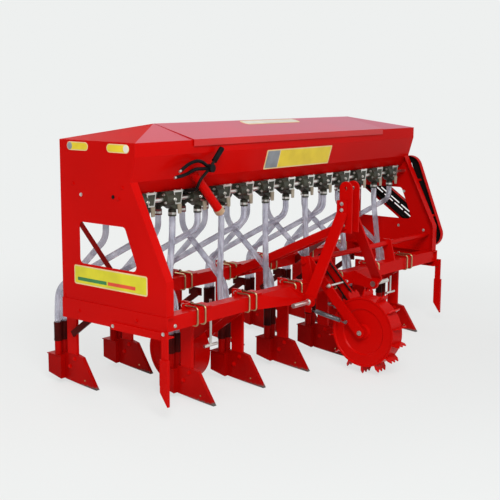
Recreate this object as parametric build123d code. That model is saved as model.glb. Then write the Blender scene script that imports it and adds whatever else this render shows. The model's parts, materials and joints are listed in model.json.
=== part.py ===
from build123d import *
import math
import os

os.makedirs("parts", exist_ok=True)

# Thirteen-row mounted seed and fertiliser drill, in millimetres.
# X runs across the machine, the tractor is on the -Y side, Z is up from the ground.

# Driving dimensions of the whole machine
ROWS = 13
ROW_PITCH = 180.0
END_MARGIN = 88.0
HALF_WIDTH = (ROWS - 1) / 2 * ROW_PITCH + END_MARGIN
REAR_Y = 480.0
NOSE_Y = -184.0
FIT_GAP = 0.3
RUN_GAP = 0.05
SWING_GAP = 5.0

# Side channels and cross bars
CHANNEL_LOW = 355.0
CHANNEL_HIGH = 448.0
CHANNEL_DEPTH = 42.0
CHANNEL_WALL = 6.0
CHANNEL_PROUD = 5.0
BAR_SIZE = 65.0
BAR_WALL = 5.0
BAR_LOW = 382.0
FRONT_BAR_Y = -180.0
REAR_BAR_Y = 394.0

# Hopper
SHEET = 3.0
RIM_Z = 1178.0
LIP_Z = 1118.0
FOLD_Z = 1008.0
FLOOR_Z = 950.0
BOX_FRONT_Y = -6.0
FOLD_Y = 26.0
FLOOR_FRONT_Y = 66.0
FLOOR_REAR_Y = 414.0
RIDGE_Y = 237.0
RIDGE_RISE = 67.0
HIP_RUN = 360.0
EAVE_RUN = 3.6
RIM_FLANGE = 18.0
TROUGH_WIDTH = 84.0
SADDLE_Z = 1035.0

# End panels
PANEL_LOW = CHANNEL_HIGH
KNEE_Z = 597.0
PANEL_FLANGE = 45.0
WINDOW = {"rear": 357.0, "top": 812.0, "top_front": 64.0, "low_front": -16.0, "low": 622.0, "radius": 22.0}

# Brace inside the left panel's window, its ends as (y, z)
PANEL_BRACE = {"low": (150.0, 601.0), "high": (385.0, 832.0), "width": 25.0, "thick": 6.0}

# Lid
LID_SEAM = SWING_GAP
LID_SKIRT = 28.0
HINGE_Y = REAR_Y + 12.0
HINGE_Z = RIM_Z - 6.0
HINGE_R = 6.5
HINGE_PIN_R = 3.0
HINGE_LENGTH = 40.0
HINGE_PLACES = (-600.0, -200.0, 200.0, 600.0)

# Tines, shovels and boots
SHANK_WIDTH = 65.0
SHANK_THICK = 16.0
SHANK_TOP = 458.0
SHANK_GAP = 28.0
SHOVEL_TOP = 150.0
SHOVEL_THICK = 20.0
BOOT_WIDTH = 72.0
BOOT_WALL = 3.0
BOOT_PLATE = 4.0
BOOT_BACK = 92.0
PIPE_TOP = 262.0
PIPE_BORE_R = 15.0
PIPE_WALL = 2.0
PIPE_SPREAD = 20.0
PIPE_BACK = 53.0
STAY_WIDTH = 30.0
STAY_THICK = 10.0

# Feed units under the hopper, their two shafts and their hoses
UNIT_MARGIN = 136.0
UNIT_PITCH = 2 * (HALF_WIDTH - UNIT_MARGIN) / (ROWS - 1)
FERT_Y = 72.0
SEED_Y = 330.0
FERT_SHAFT_Y = 50.0
FERT_SHAFT_Z = 915.0
SEED_SHAFT_Y = 350.0
SEED_SHAFT_Z = 860.0
FEED_SHAFT_R = 10.0
CUP_TOP = FLOOR_Z
CUP_FLANGE = 6.0
CUP_FRONT_Y = 36.0
CUP_REAR_Y = 92.0
DRUM_R = 30.0
FUNNEL = [  # x from the middle, z
    (-75.0, 905.0), (-62.0, 893.0), (-17.0, 866.0), (17.0, 866.0), (24.0, 884.0)]
FERT_SPOUT_Z = 846.0
SEED_SPOUT_Z = 812.0
SPOUT_R = 15.0
HOSE_R = 15.0
CUFF_R = 19.0
CUFF_LENGTH = 30.0
CUFF_OVERLAP = 16.0
FRAME_THICK = 3.0
FRAME_LOW = 890.0
FRAME_RIM = 6.0
SHUTTER_THICK = 6.0

# Rate lever on the front of the hopper, and its two sleeved rods
LEVER_R = 7.0
LEVER_ROUTE = [(-785.0, 84.0, 938.0), (-785.0, -10.0, 950.0), (-788.0, -34.0, 998.0), (-719.0, -34.0, 1048.0),
               (-640.0, -34.0, 1130.0)]
GRIP_R = 13.0
GRIP_LENGTH = 78.0
GRIP_CAP = 6.0
SLEEVE_R = 8.0
LEVER_BOSS_R = 19.0
SLEEVE_ROUTES = [
    [(-722.0, -34.0, 1050.0), (-788.0, -34.0, 1088.0), (-854.0, -34.0, 1079.0), (-913.0, -34.0, 1049.0)],
    [(-722.0, -34.0, 1046.0), (-821.0, -34.0, 1050.0), (-880.0, -34.0, 1028.0), (-946.0, -34.0, 1020.0)]]

# Drain pipe at the front of the fertiliser bin
DRAIN_HIGH = (-794.0, 8.0, 1036.0)
DRAIN_LOW = (-616.0, 8.0, 849.0)
DRAIN_R = 21.5
DRAIN_WALL = 3.5
PLUG_R = 24.0
PLUG_LENGTH = 26.0

# Top link mast and lower hitch
MAST_Y = -326.0
LINK_Z = 921.0
LINK_HOLE_R = 10.0
MAST_GAP = 52.0
MAST_PLATE = 10.0
MAST_WIDTH = 72.0
MAST_FOOT_Z = 700.0
LEG_Y = (-342.0, -282.0)
LEG_THICK = 12.0
LEG_TOP_Z = 862.0
LEG_BEND_Z = 800.0
LEG_KNEE_Z = 424.0
LEG_EYE_R = 24.0
BRACE_WIDTH = 42.0
BRACE_THICK = 10.0
BRACE_FOOT_Z = 409.0
BRACE_OVERRUN = 12.0
SPLAY_X = 531.0

# Lower hitch: cheek plates, gusset wedges and pins
CHEEK_X = 280.0
CHEEK_THICK = 12.0
CHEEK_NOSE_R = 28.0
PIN_ROOT_X = CHEEK_X + CHEEK_THICK + LEG_THICK
LOWER_PIN_Y = -299.0
LOWER_PIN_Z = 390.0
LOWER_PIN_R = 11.0
LOWER_PIN_LENGTH = 120.0
PIN_SHOULDER_R = 16.0
WEDGE_FRONT_Y = -262.0
WEDGE_TIP_X = 545.0
WEDGE_LOW = 376.0
WEDGE_FRONT_Z = 401.0
WEDGE_WALL = 6.0

# Ground drive wheel, its arms and the cross shaft
WHEEL_Y = -447.0
WHEEL_Z = 214.0
WHEEL_R = 176.0
WHEEL_WIDTH = 90.0
LUGS = 14
LUG_TIP_R = WHEEL_Z
LUG_THICK = 6.0
DRIVE_DISH = [  # inset from the side, radius
    (0.0, WHEEL_R), (0.0, WHEEL_R - 8.0), (5.0, WHEEL_R - 12.0), (5.0, WHEEL_R - 58.0),
    (11.0, WHEEL_R - 64.0), (11.0, 40.0), (0.0, 34.0)]
AXLE_R = 12.5
ARM_X = 66.0
ARM_THICK = 10.0
ARM_WIDTH = 52.0
CROSS_Y = -126.0
CROSS_Z = 541.0
CROSS_R = 14.0
CROSS_LEFT_X = -110.0
COLLAR_R = 16.0
POST_X = 94.0
POST_THICK = 10.0

# Chains, sprockets and the guard at the right end
GUARD_X = (HALF_WIDTH + 22.0, HALF_WIDTH + 50.0)
GUARD_SHEET = 3.0
GUARD_TOP = (30.0, 930.0)
GUARD_TOP_R = 77.0
GUARD_REAR_R = 56.0
SLOT_LENGTH = 73.0
SLOT_WIDTH = 8.0
SLOT_PITCH = 88.0
SLOT_OFFSET = 10.0
SLOT_START = 110.0
STANDOFF_R = 8.0
STANDOFFS = [(-145.0, 654.0), (-36.0, 860.0)]
SHAFT_END_X = GUARD_X[1] - GUARD_SHEET - SWING_GAP
CHAIN_PITCH = 25.4
CHAIN_WIDE = 5.0
WAIST_SHARE = 0.68
CHAIN_SEAT = 0.6
TOOTH = 2.0

# Tension springs at the wheel arms, their ends as (y, z)
SPRING_R = 12.0
SPRING_HIGH = (-158.0, 296.0)
SPRING_LOW = (-372.0, 262.0)

# Depth wheels
DEPTH_OFFSET = 20.0
DEPTH_X = 4 * ROW_PITCH - DEPTH_OFFSET
DEPTH_Y = 180.0
DEPTH_R = 150.0
DEPTH_WIDTH = 110.0
DEPTH_DISH = [(0.0, DEPTH_R), (0.0, 142.0), (8.0, 138.0), (8.0, 36.0), (0.0, 30.0)]  # inset, radius
DEPTH_AXLE_R = 12.5
DEPTH_ARM_X = 66.0
DEPTH_ARM_WIDTH = 44.0
DEPTH_ARM_THICK = 8.0

# Depth screws beside the wheels
SCREW_X = DEPTH_X + 90.0
SCREW_Y = -100.0
SCREW_Z = (240.0, 455.0)
SCREW_R = 6.0
SCREW_HANDLE = 90.0
SCREW_LUG_Z = (400.0, 412.0)

# Markers at the sides
MARKER_THICK = 10.0
MARKER_WIDTH = 34.0
SLEEVE_WIDTH = 44.0
SLEEVE_THICK = 16.0
MARKER_ARM_Z = 365.0
MARKER_REAR_Y = 145.0
MARKER_LEG_Z = (240.0, 392.0)
SLEEVE_Z = (64.0, 124.0, 270.0)


def block(x, y, z):
    """A box between the low and high values of x, y and z."""
    centre = [(a + b) / 2 for a, b in (x, y, z)]
    return Pos(*centre) * Box(x[1] - x[0], y[1] - y[0], z[1] - z[0])


def profile_yz(points, x):
    """A flat outline of (y, z) points, as thick as the pair x says."""
    face = Plane.YZ * make_face(Polyline(*points, close=True))
    return Pos(x[0], 0, 0) * extrude(face, amount=x[1] - x[0])


def profile_xz(points, y):
    """A flat outline of (x, z) points, as thick as the pair y says."""
    face = Plane.XZ * make_face(Polyline(*points, close=True))
    return Pos(0, y[1], 0) * extrude(face, amount=y[1] - y[0])


def profile_xy(points, z):
    """A flat outline of (x, y) points, as thick as the pair z says."""
    return Pos(0, 0, z[0]) * extrude(make_face(Polyline(*points, close=True)), amount=z[1] - z[0])


def strip_outline(centre, thick):
    """Outline of a bent strip of even thickness along a line of two-number points."""
    left, right = [], []
    runs = [(Vector(*b) - Vector(*a)).normalized() for a, b in zip(centre, centre[1:])]
    for k, point in enumerate(centre):
        before, after = runs[max(k - 1, 0)], runs[min(k, len(runs) - 1)]
        mitre = Vector(-before.Y - after.Y, before.X + after.X) * (thick / 2 / (1 + before.dot(after)))
        left.append((point[0] + mitre.X, point[1] + mitre.Y))
        right.append((point[0] - mitre.X, point[1] - mitre.Y))
    return left + right[::-1]


def rod(start, end, radius):
    """A round bar from one point to another."""
    a, b = Vector(*start), Vector(*end)
    base = Plane(origin=a, z_dir=b - a)
    return extrude(base * Circle(radius), amount=(b - a).length)


def flat_bar(start, end, width, thick, across):
    """A flat bar from one point to another, its width along the vector across."""
    a, b = Vector(*start), Vector(*end)
    along = (b - a).normalized()
    side = Vector(*across)
    side = (side - along * side.dot(along)).normalized()
    base = Plane(origin=a, x_dir=side, z_dir=along)
    return extrude(base * Rectangle(width, thick), amount=(b - a).length)


def mirror_x(shape):
    return mirror(shape, about=Plane.YZ)


def group(shapes):
    flat = []
    for shape in shapes:
        flat.extend(shape.solids())
    return Compound(children=flat)


def save(name, shapes):
    export_step(group(shapes), f"parts/{name}.step")


def rows():
    """Row number and its X, from the left end."""
    return [(i, (i - (ROWS - 1) / 2) * ROW_PITCH) for i in range(ROWS)]


def unit_x(i):
    return (i - (ROWS - 1) / 2) * UNIT_PITCH


# Side channels: the web faces outwards, both flanges point in
def side_channel():
    outer = HALF_WIDTH + CHANNEL_PROUD
    inner = outer - CHANNEL_DEPTH
    y = (NOSE_Y - 8.0, REAR_Y)
    web = block((outer - CHANNEL_WALL, outer), y, (CHANNEL_LOW, CHANNEL_HIGH))
    top = block((inner, outer), y, (CHANNEL_HIGH - CHANNEL_WALL, CHANNEL_HIGH))
    low = block((inner, outer), y, (CHANNEL_LOW, CHANNEL_LOW + CHANNEL_WALL))
    channel = web + top + low
    for bar_y in (FRONT_BAR_Y, REAR_BAR_Y):
        notch = block((inner - 1, outer - CHANNEL_WALL), (bar_y, bar_y + BAR_SIZE),
                      (BAR_LOW, BAR_LOW + BAR_SIZE))
        channel = channel - notch
    return channel


def cross_bar(bar_y):
    end = HALF_WIDTH + CHANNEL_PROUD - CHANNEL_WALL
    tube = block((-end, end), (bar_y, bar_y + BAR_SIZE), (BAR_LOW, BAR_LOW + BAR_SIZE))
    core = block((-end - 1, end + 1), (bar_y + BAR_WALL, bar_y + BAR_SIZE - BAR_WALL),
                 (BAR_LOW + BAR_WALL, BAR_LOW + BAR_SIZE - BAR_WALL))
    return tube - core


# End panel: one sheet from the eaves to the channel, its front edge flanged inwards
def end_panel():
    outer = HALF_WIDTH
    edge = [(REAR_Y, PANEL_LOW), (REAR_Y, RIM_Z), (BOX_FRONT_Y, RIM_Z), (BOX_FRONT_Y, LIP_Z),
            (FOLD_Y, FOLD_Z), (NOSE_Y, KNEE_Z), (NOSE_Y, PANEL_LOW)]
    sheet = profile_yz(edge, (outer - SHEET, outer))
    hole_points = [(WINDOW["rear"], WINDOW["top"]), (WINDOW["top_front"], WINDOW["top"]),
                   (WINDOW["low_front"], WINDOW["low"]), (WINDOW["rear"], WINDOW["low"])]
    hole_face = Plane.YZ * make_face(FilletPolyline(*hole_points, radius=WINDOW["radius"], close=True))
    hole = Pos(outer - SHEET - 1, 0, 0) * extrude(hole_face, amount=SHEET + 2)
    sheet = sheet - hole
    slope = math.hypot(FOLD_Y - NOSE_Y, FOLD_Z - KNEE_Z)
    dy = SHEET * (FOLD_Z - KNEE_Z) / slope
    dz = SHEET * (FOLD_Y - NOSE_Y) / slope
    strip = [(FOLD_Y, FOLD_Z), (NOSE_Y, KNEE_Z), (NOSE_Y, PANEL_LOW), (NOSE_Y + SHEET, PANEL_LOW),
             (NOSE_Y + SHEET, KNEE_Z - 1), (FOLD_Y + dy, FOLD_Z - dz)]
    flange = profile_yz(strip, (outer - PANEL_FLANGE, outer - SHEET))
    flange = flange - profile_yz(hopper_outline(0), (outer - PANEL_FLANGE - 1, outer - SHEET + 1))
    return sheet + flange


def right_panel():
    """The end panel on the drive side, with round holes for the shafts."""
    panel = end_panel()
    for y, z, radius in ((CROSS_Y, CROSS_Z, CROSS_R), (FERT_SHAFT_Y, FERT_SHAFT_Z, FEED_SHAFT_R),
                         (SEED_SHAFT_Y, SEED_SHAFT_Z, FEED_SHAFT_R)):
        hole = rod((HALF_WIDTH - SHEET - 1, y, z), (HALF_WIDTH + 1, y, z), radius + RUN_GAP)
        panel = panel - hole
    return panel


def panel_brace():
    """Flat bar across the left window, on the inner face of the panel."""
    (y0, z0), (y1, z1) = PANEL_BRACE["low"], PANEL_BRACE["high"]
    x = -HALF_WIDTH + SHEET + PANEL_BRACE["thick"] / 2
    across = (0, z0 - z1, y1 - y0)
    return flat_bar((x, y0, z0), (x, y1, z1), PANEL_BRACE["width"], PANEL_BRACE["thick"], across)


def bar_envelope(bar_y):
    return block((-HALF_WIDTH, HALF_WIDTH), (bar_y, bar_y + BAR_SIZE), (BAR_LOW, BAR_LOW + BAR_SIZE))


# Hopper: folded front and rear sheets, two troughs and the saddle between them
def hopper_outline(inset):
    t = inset
    return [
        (BOX_FRONT_Y + t, RIM_Z + (1.0 if t else 0.0)),
        (BOX_FRONT_Y + t, LIP_Z + t / 4),
        (FOLD_Y + t, FOLD_Z + t / 2),
        (FLOOR_FRONT_Y + t * 0.7, FLOOR_Z + t),
        (FLOOR_FRONT_Y + TROUGH_WIDTH - t * 0.4, FLOOR_Z + t),
        (RIDGE_Y, SADDLE_Z + t * 1.3),
        (FLOOR_REAR_Y - TROUGH_WIDTH + t * 0.4, FLOOR_Z + t),
        (FLOOR_REAR_Y - t * 0.7, FLOOR_Z + t),
        (REAR_Y - (FOLD_Y - BOX_FRONT_Y) - t, FOLD_Z + t / 2),
        (REAR_Y - t, LIP_Z + t / 4),
        (REAR_Y - t, RIM_Z + (1.0 if t else 0.0)),
    ]


def hopper():
    end = HALF_WIDTH - SHEET
    shell = profile_yz(hopper_outline(0), (-end, end)) - profile_yz(hopper_outline(SHEET), (-end - 1, end + 1))
    divider = block((-end, end), (RIDGE_Y - SHEET / 2, RIDGE_Y + SHEET / 2), (SADDLE_Z + 2, RIM_Z - 20))
    front_rim = block((-end, end), (BOX_FRONT_Y, BOX_FRONT_Y + RIM_FLANGE), (RIM_Z - SHEET, RIM_Z))
    rear_rim = block((-end, end), (REAR_Y - RIM_FLANGE, REAR_Y), (RIM_Z - SHEET, RIM_Z))
    return shell + divider + front_rim + rear_rim


# Hip roof: a closed fixed end at each side, and the lid between them
def roof(lift, inset):
    eave = RIM_Z + lift
    low = eave - (1.0 if inset else 0.0)
    ridge = RIM_Z + RIDGE_RISE + lift - inset
    edge = inset * HIP_RUN / RIDGE_RISE
    front = BOX_FRONT_Y + inset * EAVE_RUN
    rear = REAR_Y - inset * EAVE_RUN
    gable = profile_yz([(front, low), (rear, low), (RIDGE_Y, ridge)], (-HALF_WIDTH, HALF_WIDTH))
    hips = profile_xz([(-HALF_WIDTH + edge, low), (HALF_WIDTH - edge, low),
                       (HALF_WIDTH - HIP_RUN, ridge), (-HALF_WIDTH + HIP_RUN, ridge)],
                      (BOX_FRONT_Y - 30, REAR_Y + 30))
    return gable & hips


def roof_end():
    shell = roof(0.0, 0.0) - roof(0.0, SHEET)
    seam = HALF_WIDTH - HIP_RUN
    end = block((seam, HALF_WIDTH + 1), (BOX_FRONT_Y - 40, REAR_Y + 40), (RIM_Z - 5, RIM_Z + 200))
    return shell & end


def lid():
    half = HALF_WIDTH - HIP_RUN - LID_SEAM
    eave = RIM_Z + FIT_GAP
    front = BOX_FRONT_Y - SWING_GAP
    ridge = RIM_Z + RIDGE_RISE
    outline = [(front - SHEET, eave - LID_SKIRT), (front - SHEET, eave + SHEET), (RIDGE_Y, ridge),
               (REAR_Y, eave + SHEET), (REAR_Y, eave), (REAR_Y - 16, eave), (RIDGE_Y, ridge - SHEET),
               (BOX_FRONT_Y + 14, eave), (front, eave), (front, eave - LID_SKIRT)]
    return profile_yz(outline, (-half, half))


def hinge_knuckles(on_lid):
    """Half of each hinge: one knuckle on the lid, the other on the hopper's rear sheet."""
    shapes = []
    for x in HINGE_PLACES:
        span = (x + 0.25, x + HINGE_LENGTH) if on_lid else (x - HINGE_LENGTH, x - 0.25)
        knuckle = rod((span[0], HINGE_Y, HINGE_Z), (span[1], HINGE_Y, HINGE_Z), HINGE_R)
        if on_lid:
            leaf = block(span, (REAR_Y - 12, HINGE_Y), (RIM_Z + FIT_GAP + SHEET, RIM_Z + FIT_GAP + SHEET * 2))
            drop = block(span, (HINGE_Y, HINGE_Y + SHEET), (HINGE_Z, RIM_Z + FIT_GAP + SHEET * 2))
            piece = knuckle + leaf + drop
        else:
            leaf = block(span, (REAR_Y, REAR_Y + SHEET), (HINGE_Z - 32, HINGE_Z + 2))
            arm = block(span, (REAR_Y, HINGE_Y), (HINGE_Z - HINGE_R, HINGE_Z - HINGE_R + SHEET))
            piece = knuckle + leaf + arm
        radius = HINGE_PIN_R if on_lid else HINGE_PIN_R + RUN_GAP
        if not on_lid:
            piece = piece - rod((x - HINGE_LENGTH - 1, HINGE_Y, HINGE_Z), (x, HINGE_Y, HINGE_Z), radius)
        else:
            piece = piece + rod((x - HINGE_LENGTH, HINGE_Y, HINGE_Z), (x + 1, HINGE_Y, HINGE_Z), radius)
        shapes.append(piece)
    return shapes


# Tine: a flat shank clamped behind its bar, with a pointed shovel and a boot for the hoses
def tine_front(i):
    """The Y of the shank's front edge: even rows hang on the rear bar, odd rows on the front bar."""
    bar = REAR_BAR_Y if i % 2 == 0 else FRONT_BAR_Y
    return bar + BAR_SIZE + SHANK_GAP


def shank(i, x):
    y = tine_front(i)
    return block((x - SHANK_THICK / 2, x + SHANK_THICK / 2), (y, y + SHANK_WIDTH), (SHOVEL_TOP, SHANK_TOP))


SHOVEL = [(-136, 0), (-14, 10), (84, 20), (84, SHOVEL_TOP), (0, SHOVEL_TOP), (-40, 142)]


def shovel(i, x):
    y = tine_front(i)
    points = [(y + a, b) for a, b in SHOVEL]
    return profile_yz(points, (x - SHOVEL_THICK / 2, x + SHOVEL_THICK / 2))


def boot(i, x):
    """Hollow box behind the shovel, open below, with two pipes for the hoses."""
    y = tine_front(i) + 84
    back = y + BOOT_BACK
    half = BOOT_WIDTH / 2
    side = [(y, 22), (back, 42), (back, 134), (y, 134)]
    shell = profile_yz(side, (x - half, x + half))
    core = [(y + BOOT_WALL, 0), (back - BOOT_WALL, 0), (back - BOOT_WALL, 131), (y + BOOT_WALL, 131)]
    shell = shell - profile_yz(core, (x - half + BOOT_WALL, x + half - BOOT_WALL))
    top = block((x - half - 4, x + half + 4), (y, back + 4), (134, 134 + BOOT_PLATE))
    piece = shell + top
    pipe_y = tine_front(i) + SHANK_WIDTH + PIPE_BACK
    for side_sign in (-1, 1):
        px = x + side_sign * PIPE_SPREAD
        piece = piece + rod((px, pipe_y, 131), (px, pipe_y, PIPE_TOP), PIPE_BORE_R + PIPE_WALL)
    for side_sign in (-1, 1):
        px = x + side_sign * PIPE_SPREAD
        piece = piece - rod((px, pipe_y, 120), (px, pipe_y, PIPE_TOP + 1), PIPE_BORE_R)
    return piece


def clamp(i, x):
    """Bent plate that holds the shank against the back of its bar."""
    bar = REAR_BAR_Y if i % 2 == 0 else FRONT_BAR_Y
    back = bar + BAR_SIZE
    y = tine_front(i)
    top = profile_xy([(x - 42, back + 10), (x - 42, bar + 16), (x - 20, bar - 6), (x + 20, bar - 6),
                      (x + 42, bar + 16), (x + 42, back + 10)], (BAR_LOW + BAR_SIZE, BAR_LOW + BAR_SIZE + 8))
    rear = block((x - 42, x + 42), (back, back + 10), (BAR_LOW - 10, BAR_LOW + BAR_SIZE + 8))
    cheeks = []
    for s in (-1, 1):
        x0 = x + s * (SHANK_THICK / 2)
        x1 = x0 + s * 8
        cheeks.append(block((min(x0, x1), max(x0, x1)), (back + 10, y + SHANK_WIDTH - 8),
                            (BAR_LOW - 4, BAR_LOW + BAR_SIZE + 2)))
    piece = top + rear
    for cheek in cheeks:
        piece = piece + cheek
    return piece


def stay(i, x):
    """Diagonal strip from the shank up to the bar, beside the shank."""
    bar = REAR_BAR_Y if i % 2 == 0 else FRONT_BAR_Y
    y = tine_front(i)
    side = x - SHANK_THICK / 2 - STAY_THICK / 2
    low = (side, y + 20, 250)
    high = (side, bar - 40, BAR_LOW - 22)
    bar_piece = flat_bar(low, high, STAY_WIDTH, STAY_THICK, (0, 1, 1))
    face = side + STAY_THICK / 2
    lug = block((face, face + 8), (bar - 55, bar + 30), (BAR_LOW - 40, BAR_LOW))
    return [bar_piece, lug]


# Feed unit: a cast cup with a round flute housing at its left and a funnel down to the spout
def fert_unit(i):
    x, y = unit_x(i), FERT_SHAFT_Y
    under = CUP_TOP - CUP_FLANGE
    flange = block((x - 78, x + 45), (FERT_Y - 34, FERT_Y + 34), (under, CUP_TOP))
    side = [(FUNNEL[0][0], under)] + FUNNEL + [(FUNNEL[-1][0], under)]
    funnel = profile_xz([(x + a, z) for a, z in side], (CUP_FRONT_Y, CUP_REAR_Y))
    drum = rod((x - 80, y, FERT_SHAFT_Z), (x - 30, y, FERT_SHAFT_Z), DRUM_R)
    hub = rod((x - 88, y, FERT_SHAFT_Z), (x - 80, y, FERT_SHAFT_Z), FEED_SHAFT_R + 4)
    spout = rod((x, FERT_Y, FERT_SPOUT_Z), (x, FERT_Y, FERT_SPOUT_Z + 24), SPOUT_R)
    piece = flange + funnel + drum + hub + spout
    return piece - rod((x - 100, y, FERT_SHAFT_Z), (x + 60, y, FERT_SHAFT_Z), FEED_SHAFT_R + RUN_GAP)


def seed_unit(i):
    x, y = unit_x(i), SEED_SHAFT_Y
    under = CUP_TOP - CUP_FLANGE
    flange = block((x - 45, x + 45), (y - 34, y + 34), (under, CUP_TOP))
    neck = profile_xz([(x - 40, under), (x - 24, SEED_SHAFT_Z), (x + 24, SEED_SHAFT_Z), (x + 40, under)],
                      (y - 24, y + 24))
    drum = rod((x - 32, y, SEED_SHAFT_Z), (x + 32, y, SEED_SHAFT_Z), DRUM_R)
    spout = rod((x, SEED_Y, SEED_SPOUT_Z), (x, SEED_Y, SEED_SHAFT_Z - 10), SPOUT_R)
    piece = flange + neck + drum + spout
    return piece - rod((x - 60, y, SEED_SHAFT_Z), (x + 60, y, SEED_SHAFT_Z), FEED_SHAFT_R + RUN_GAP)


def unit_frame(i):
    """Tapered window frame on the front of the cup, with its plate on the flange."""
    x = unit_x(i)
    y = (CUP_FRONT_Y - FRAME_THICK, CUP_FRONT_Y)
    high, low = CUP_TOP - FRAME_RIM, FRAME_LOW + FRAME_RIM
    ring = profile_xz([(x - 30, CUP_TOP), (x + 30, CUP_TOP), (x + 19, FRAME_LOW), (x - 19, FRAME_LOW)], y)
    window = profile_xz([(x - 24, high), (x + 24, high), (x + 14, low), (x - 14, low)], (y[0] - 1, y[1] + 1))
    plate = block((x - 33, x + 33), (y[0], FERT_Y - 14), (CUP_TOP, CUP_TOP + FRAME_THICK))
    return ring - window + plate


def shutter(i):
    """Tongue of the shutter below the frame."""
    x = unit_x(i)
    top = FRAME_LOW - FIT_GAP
    return profile_xz([(x - 6, top), (x + 19, top), (x + 17, FERT_SPOUT_Z), (x, FERT_SPOUT_Z)],
                      (CUP_FRONT_Y - SHUTTER_THICK, CUP_FRONT_Y))


def hose_points(i, x, seed):
    """Corner points of a hose from its spout to the boot pipe."""
    top_y = SEED_Y if seed else FERT_Y
    top_z = SEED_SPOUT_Z if seed else FERT_SPOUT_Z
    top_x = unit_x(i)
    px = x + (PIPE_SPREAD if seed else -PIPE_SPREAD)
    pipe_y = tine_front(i) + SHANK_WIDTH + PIPE_BACK
    lean = -14 if i % 2 == 0 else 12
    return [(top_x, top_y, top_z - FIT_GAP), (top_x, top_y, top_z - 90),
            (px, pipe_y + lean, 470), (px, pipe_y, 350), (px, pipe_y, PIPE_TOP - 60)]


def bend_radii(points):
    """The largest tangent arcs that the runs of a route leave room for."""
    radii = []
    for a, b, c in zip(points, points[1:], points[2:]):
        before = Vector(*b) - Vector(*a)
        after = Vector(*c) - Vector(*b)
        turn = math.radians(max(before.get_angle(after), 0.05))
        radii.append(0.45 * min(before.length, after.length) / math.tan(turn / 2))
    return radii


def hose(points, radius):
    path = FilletPolyline(*points, radius=bend_radii(points))
    base = Plane(origin=path @ 0, z_dir=path % 0)
    return sweep(base * Circle(radius), path=path)


def cuff(i, seed):
    """Rubber sleeve that joins the hose to its spout."""
    x, y, spout_z = unit_x(i), (SEED_Y if seed else FERT_Y), (SEED_SPOUT_Z if seed else FERT_SPOUT_Z)
    high = spout_z + CUFF_OVERLAP
    sleeve = rod((x, y, high - CUFF_LENGTH), (x, y, high), CUFF_R)
    return sleeve - rod((x, y, high - CUFF_LENGTH - 1), (x, y, high + 1), SPOUT_R)


# Rate lever: a bent rod from a lug under the floor, its grip, and two sleeved rods from its boss
def rate_lever():
    x, y, z = LEVER_ROUTE[0]
    lug = block((x - 10, x + 10), (y - 14, y + 16), (z - 13, FLOOR_Z))
    return hose(LEVER_ROUTE, LEVER_R) + lug


def lever_grip():
    corner, end = Vector(*LEVER_ROUTE[-2]), Vector(*LEVER_ROUTE[-1])
    along = (end - corner).normalized()
    tip = end + along * GRIP_CAP
    start = tip - along * GRIP_LENGTH
    grip = rod(tuple(start), tuple(tip), GRIP_R)
    return grip - rod(tuple(start - along), tuple(end), LEVER_R + RUN_GAP)


def lever_cables():
    corner = LEVER_ROUTE[-2]
    x, y, z = corner
    piece = rod((x, y - LEVER_BOSS_R, z), (x, y + SLEEVE_R, z), LEVER_BOSS_R)
    for route in SLEEVE_ROUTES:
        piece = piece + hose(route, SLEEVE_R)
    return piece - hose(LEVER_ROUTE, LEVER_R + RUN_GAP)


# Drain pipe: a slanted tube from the bin's front sheet, closed by a plug
def drain_pipe():
    tube = rod(DRAIN_HIGH, DRAIN_LOW, DRAIN_R) - rod(DRAIN_HIGH, DRAIN_LOW, DRAIN_R - DRAIN_WALL)
    return tube - profile_yz(hopper_outline(0), (DRAIN_HIGH[0] - 60, DRAIN_LOW[0] + 60))


def drain_plug():
    high, low = Vector(*DRAIN_HIGH), Vector(*DRAIN_LOW)
    along = (low - high).normalized()
    cap = rod(tuple(low), tuple(low + along * PLUG_LENGTH), PLUG_R)
    return cap + rod(tuple(low + along * PLUG_LENGTH), tuple(low + along * (PLUG_LENGTH + 12)), PLUG_R / 2)


# Mast: two plates at the top, legs down to the lower hitch and braces back to the rear bar
def mast_plate():
    x = (MAST_GAP / 2, MAST_GAP / 2 + MAST_PLATE)
    half = MAST_WIDTH / 2
    body = block(x, (MAST_Y - half, MAST_Y + half), (MAST_FOOT_Z, LINK_Z))
    head = rod((x[0], MAST_Y, LINK_Z), (x[1], MAST_Y, LINK_Z), half)
    plate = body + head
    return plate - rod((x[0] - 1, MAST_Y, LINK_Z), (x[1] + 1, MAST_Y, LINK_Z), LINK_HOLE_R)


def mast_leg():
    """Bent strip from the mast plate down to the lower pin, with a rounded eye."""
    top_x = MAST_GAP / 2 + MAST_PLATE + LEG_THICK / 2
    foot_x = CHEEK_X + CHEEK_THICK + LEG_THICK / 2
    eye_z = LOWER_PIN_Z + LEG_EYE_R
    strip = profile_xz(strip_outline([(top_x, LEG_TOP_Z), (top_x, LEG_BEND_Z), (foot_x, LEG_KNEE_Z),
                                      (foot_x, eye_z)], LEG_THICK), LEG_Y)
    x = (foot_x - LEG_THICK / 2, foot_x + LEG_THICK / 2)
    foot = profile_yz([(LEG_Y[0], eye_z), (LEG_Y[1], eye_z), (LOWER_PIN_Y + LEG_EYE_R, LOWER_PIN_Z),
                       (LOWER_PIN_Y - LEG_EYE_R, LOWER_PIN_Z)], x)
    eye = rod((x[0], LOWER_PIN_Y, LOWER_PIN_Z), (x[1], LOWER_PIN_Y, LOWER_PIN_Z), LEG_EYE_R)
    return strip + foot + eye - pin_hole()


def pin_hole():
    return rod((CHEEK_X - 1, LOWER_PIN_Y, LOWER_PIN_Z), (PIN_ROOT_X + 1, LOWER_PIN_Y, LOWER_PIN_Z),
               PIN_SHOULDER_R + RUN_GAP)


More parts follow.
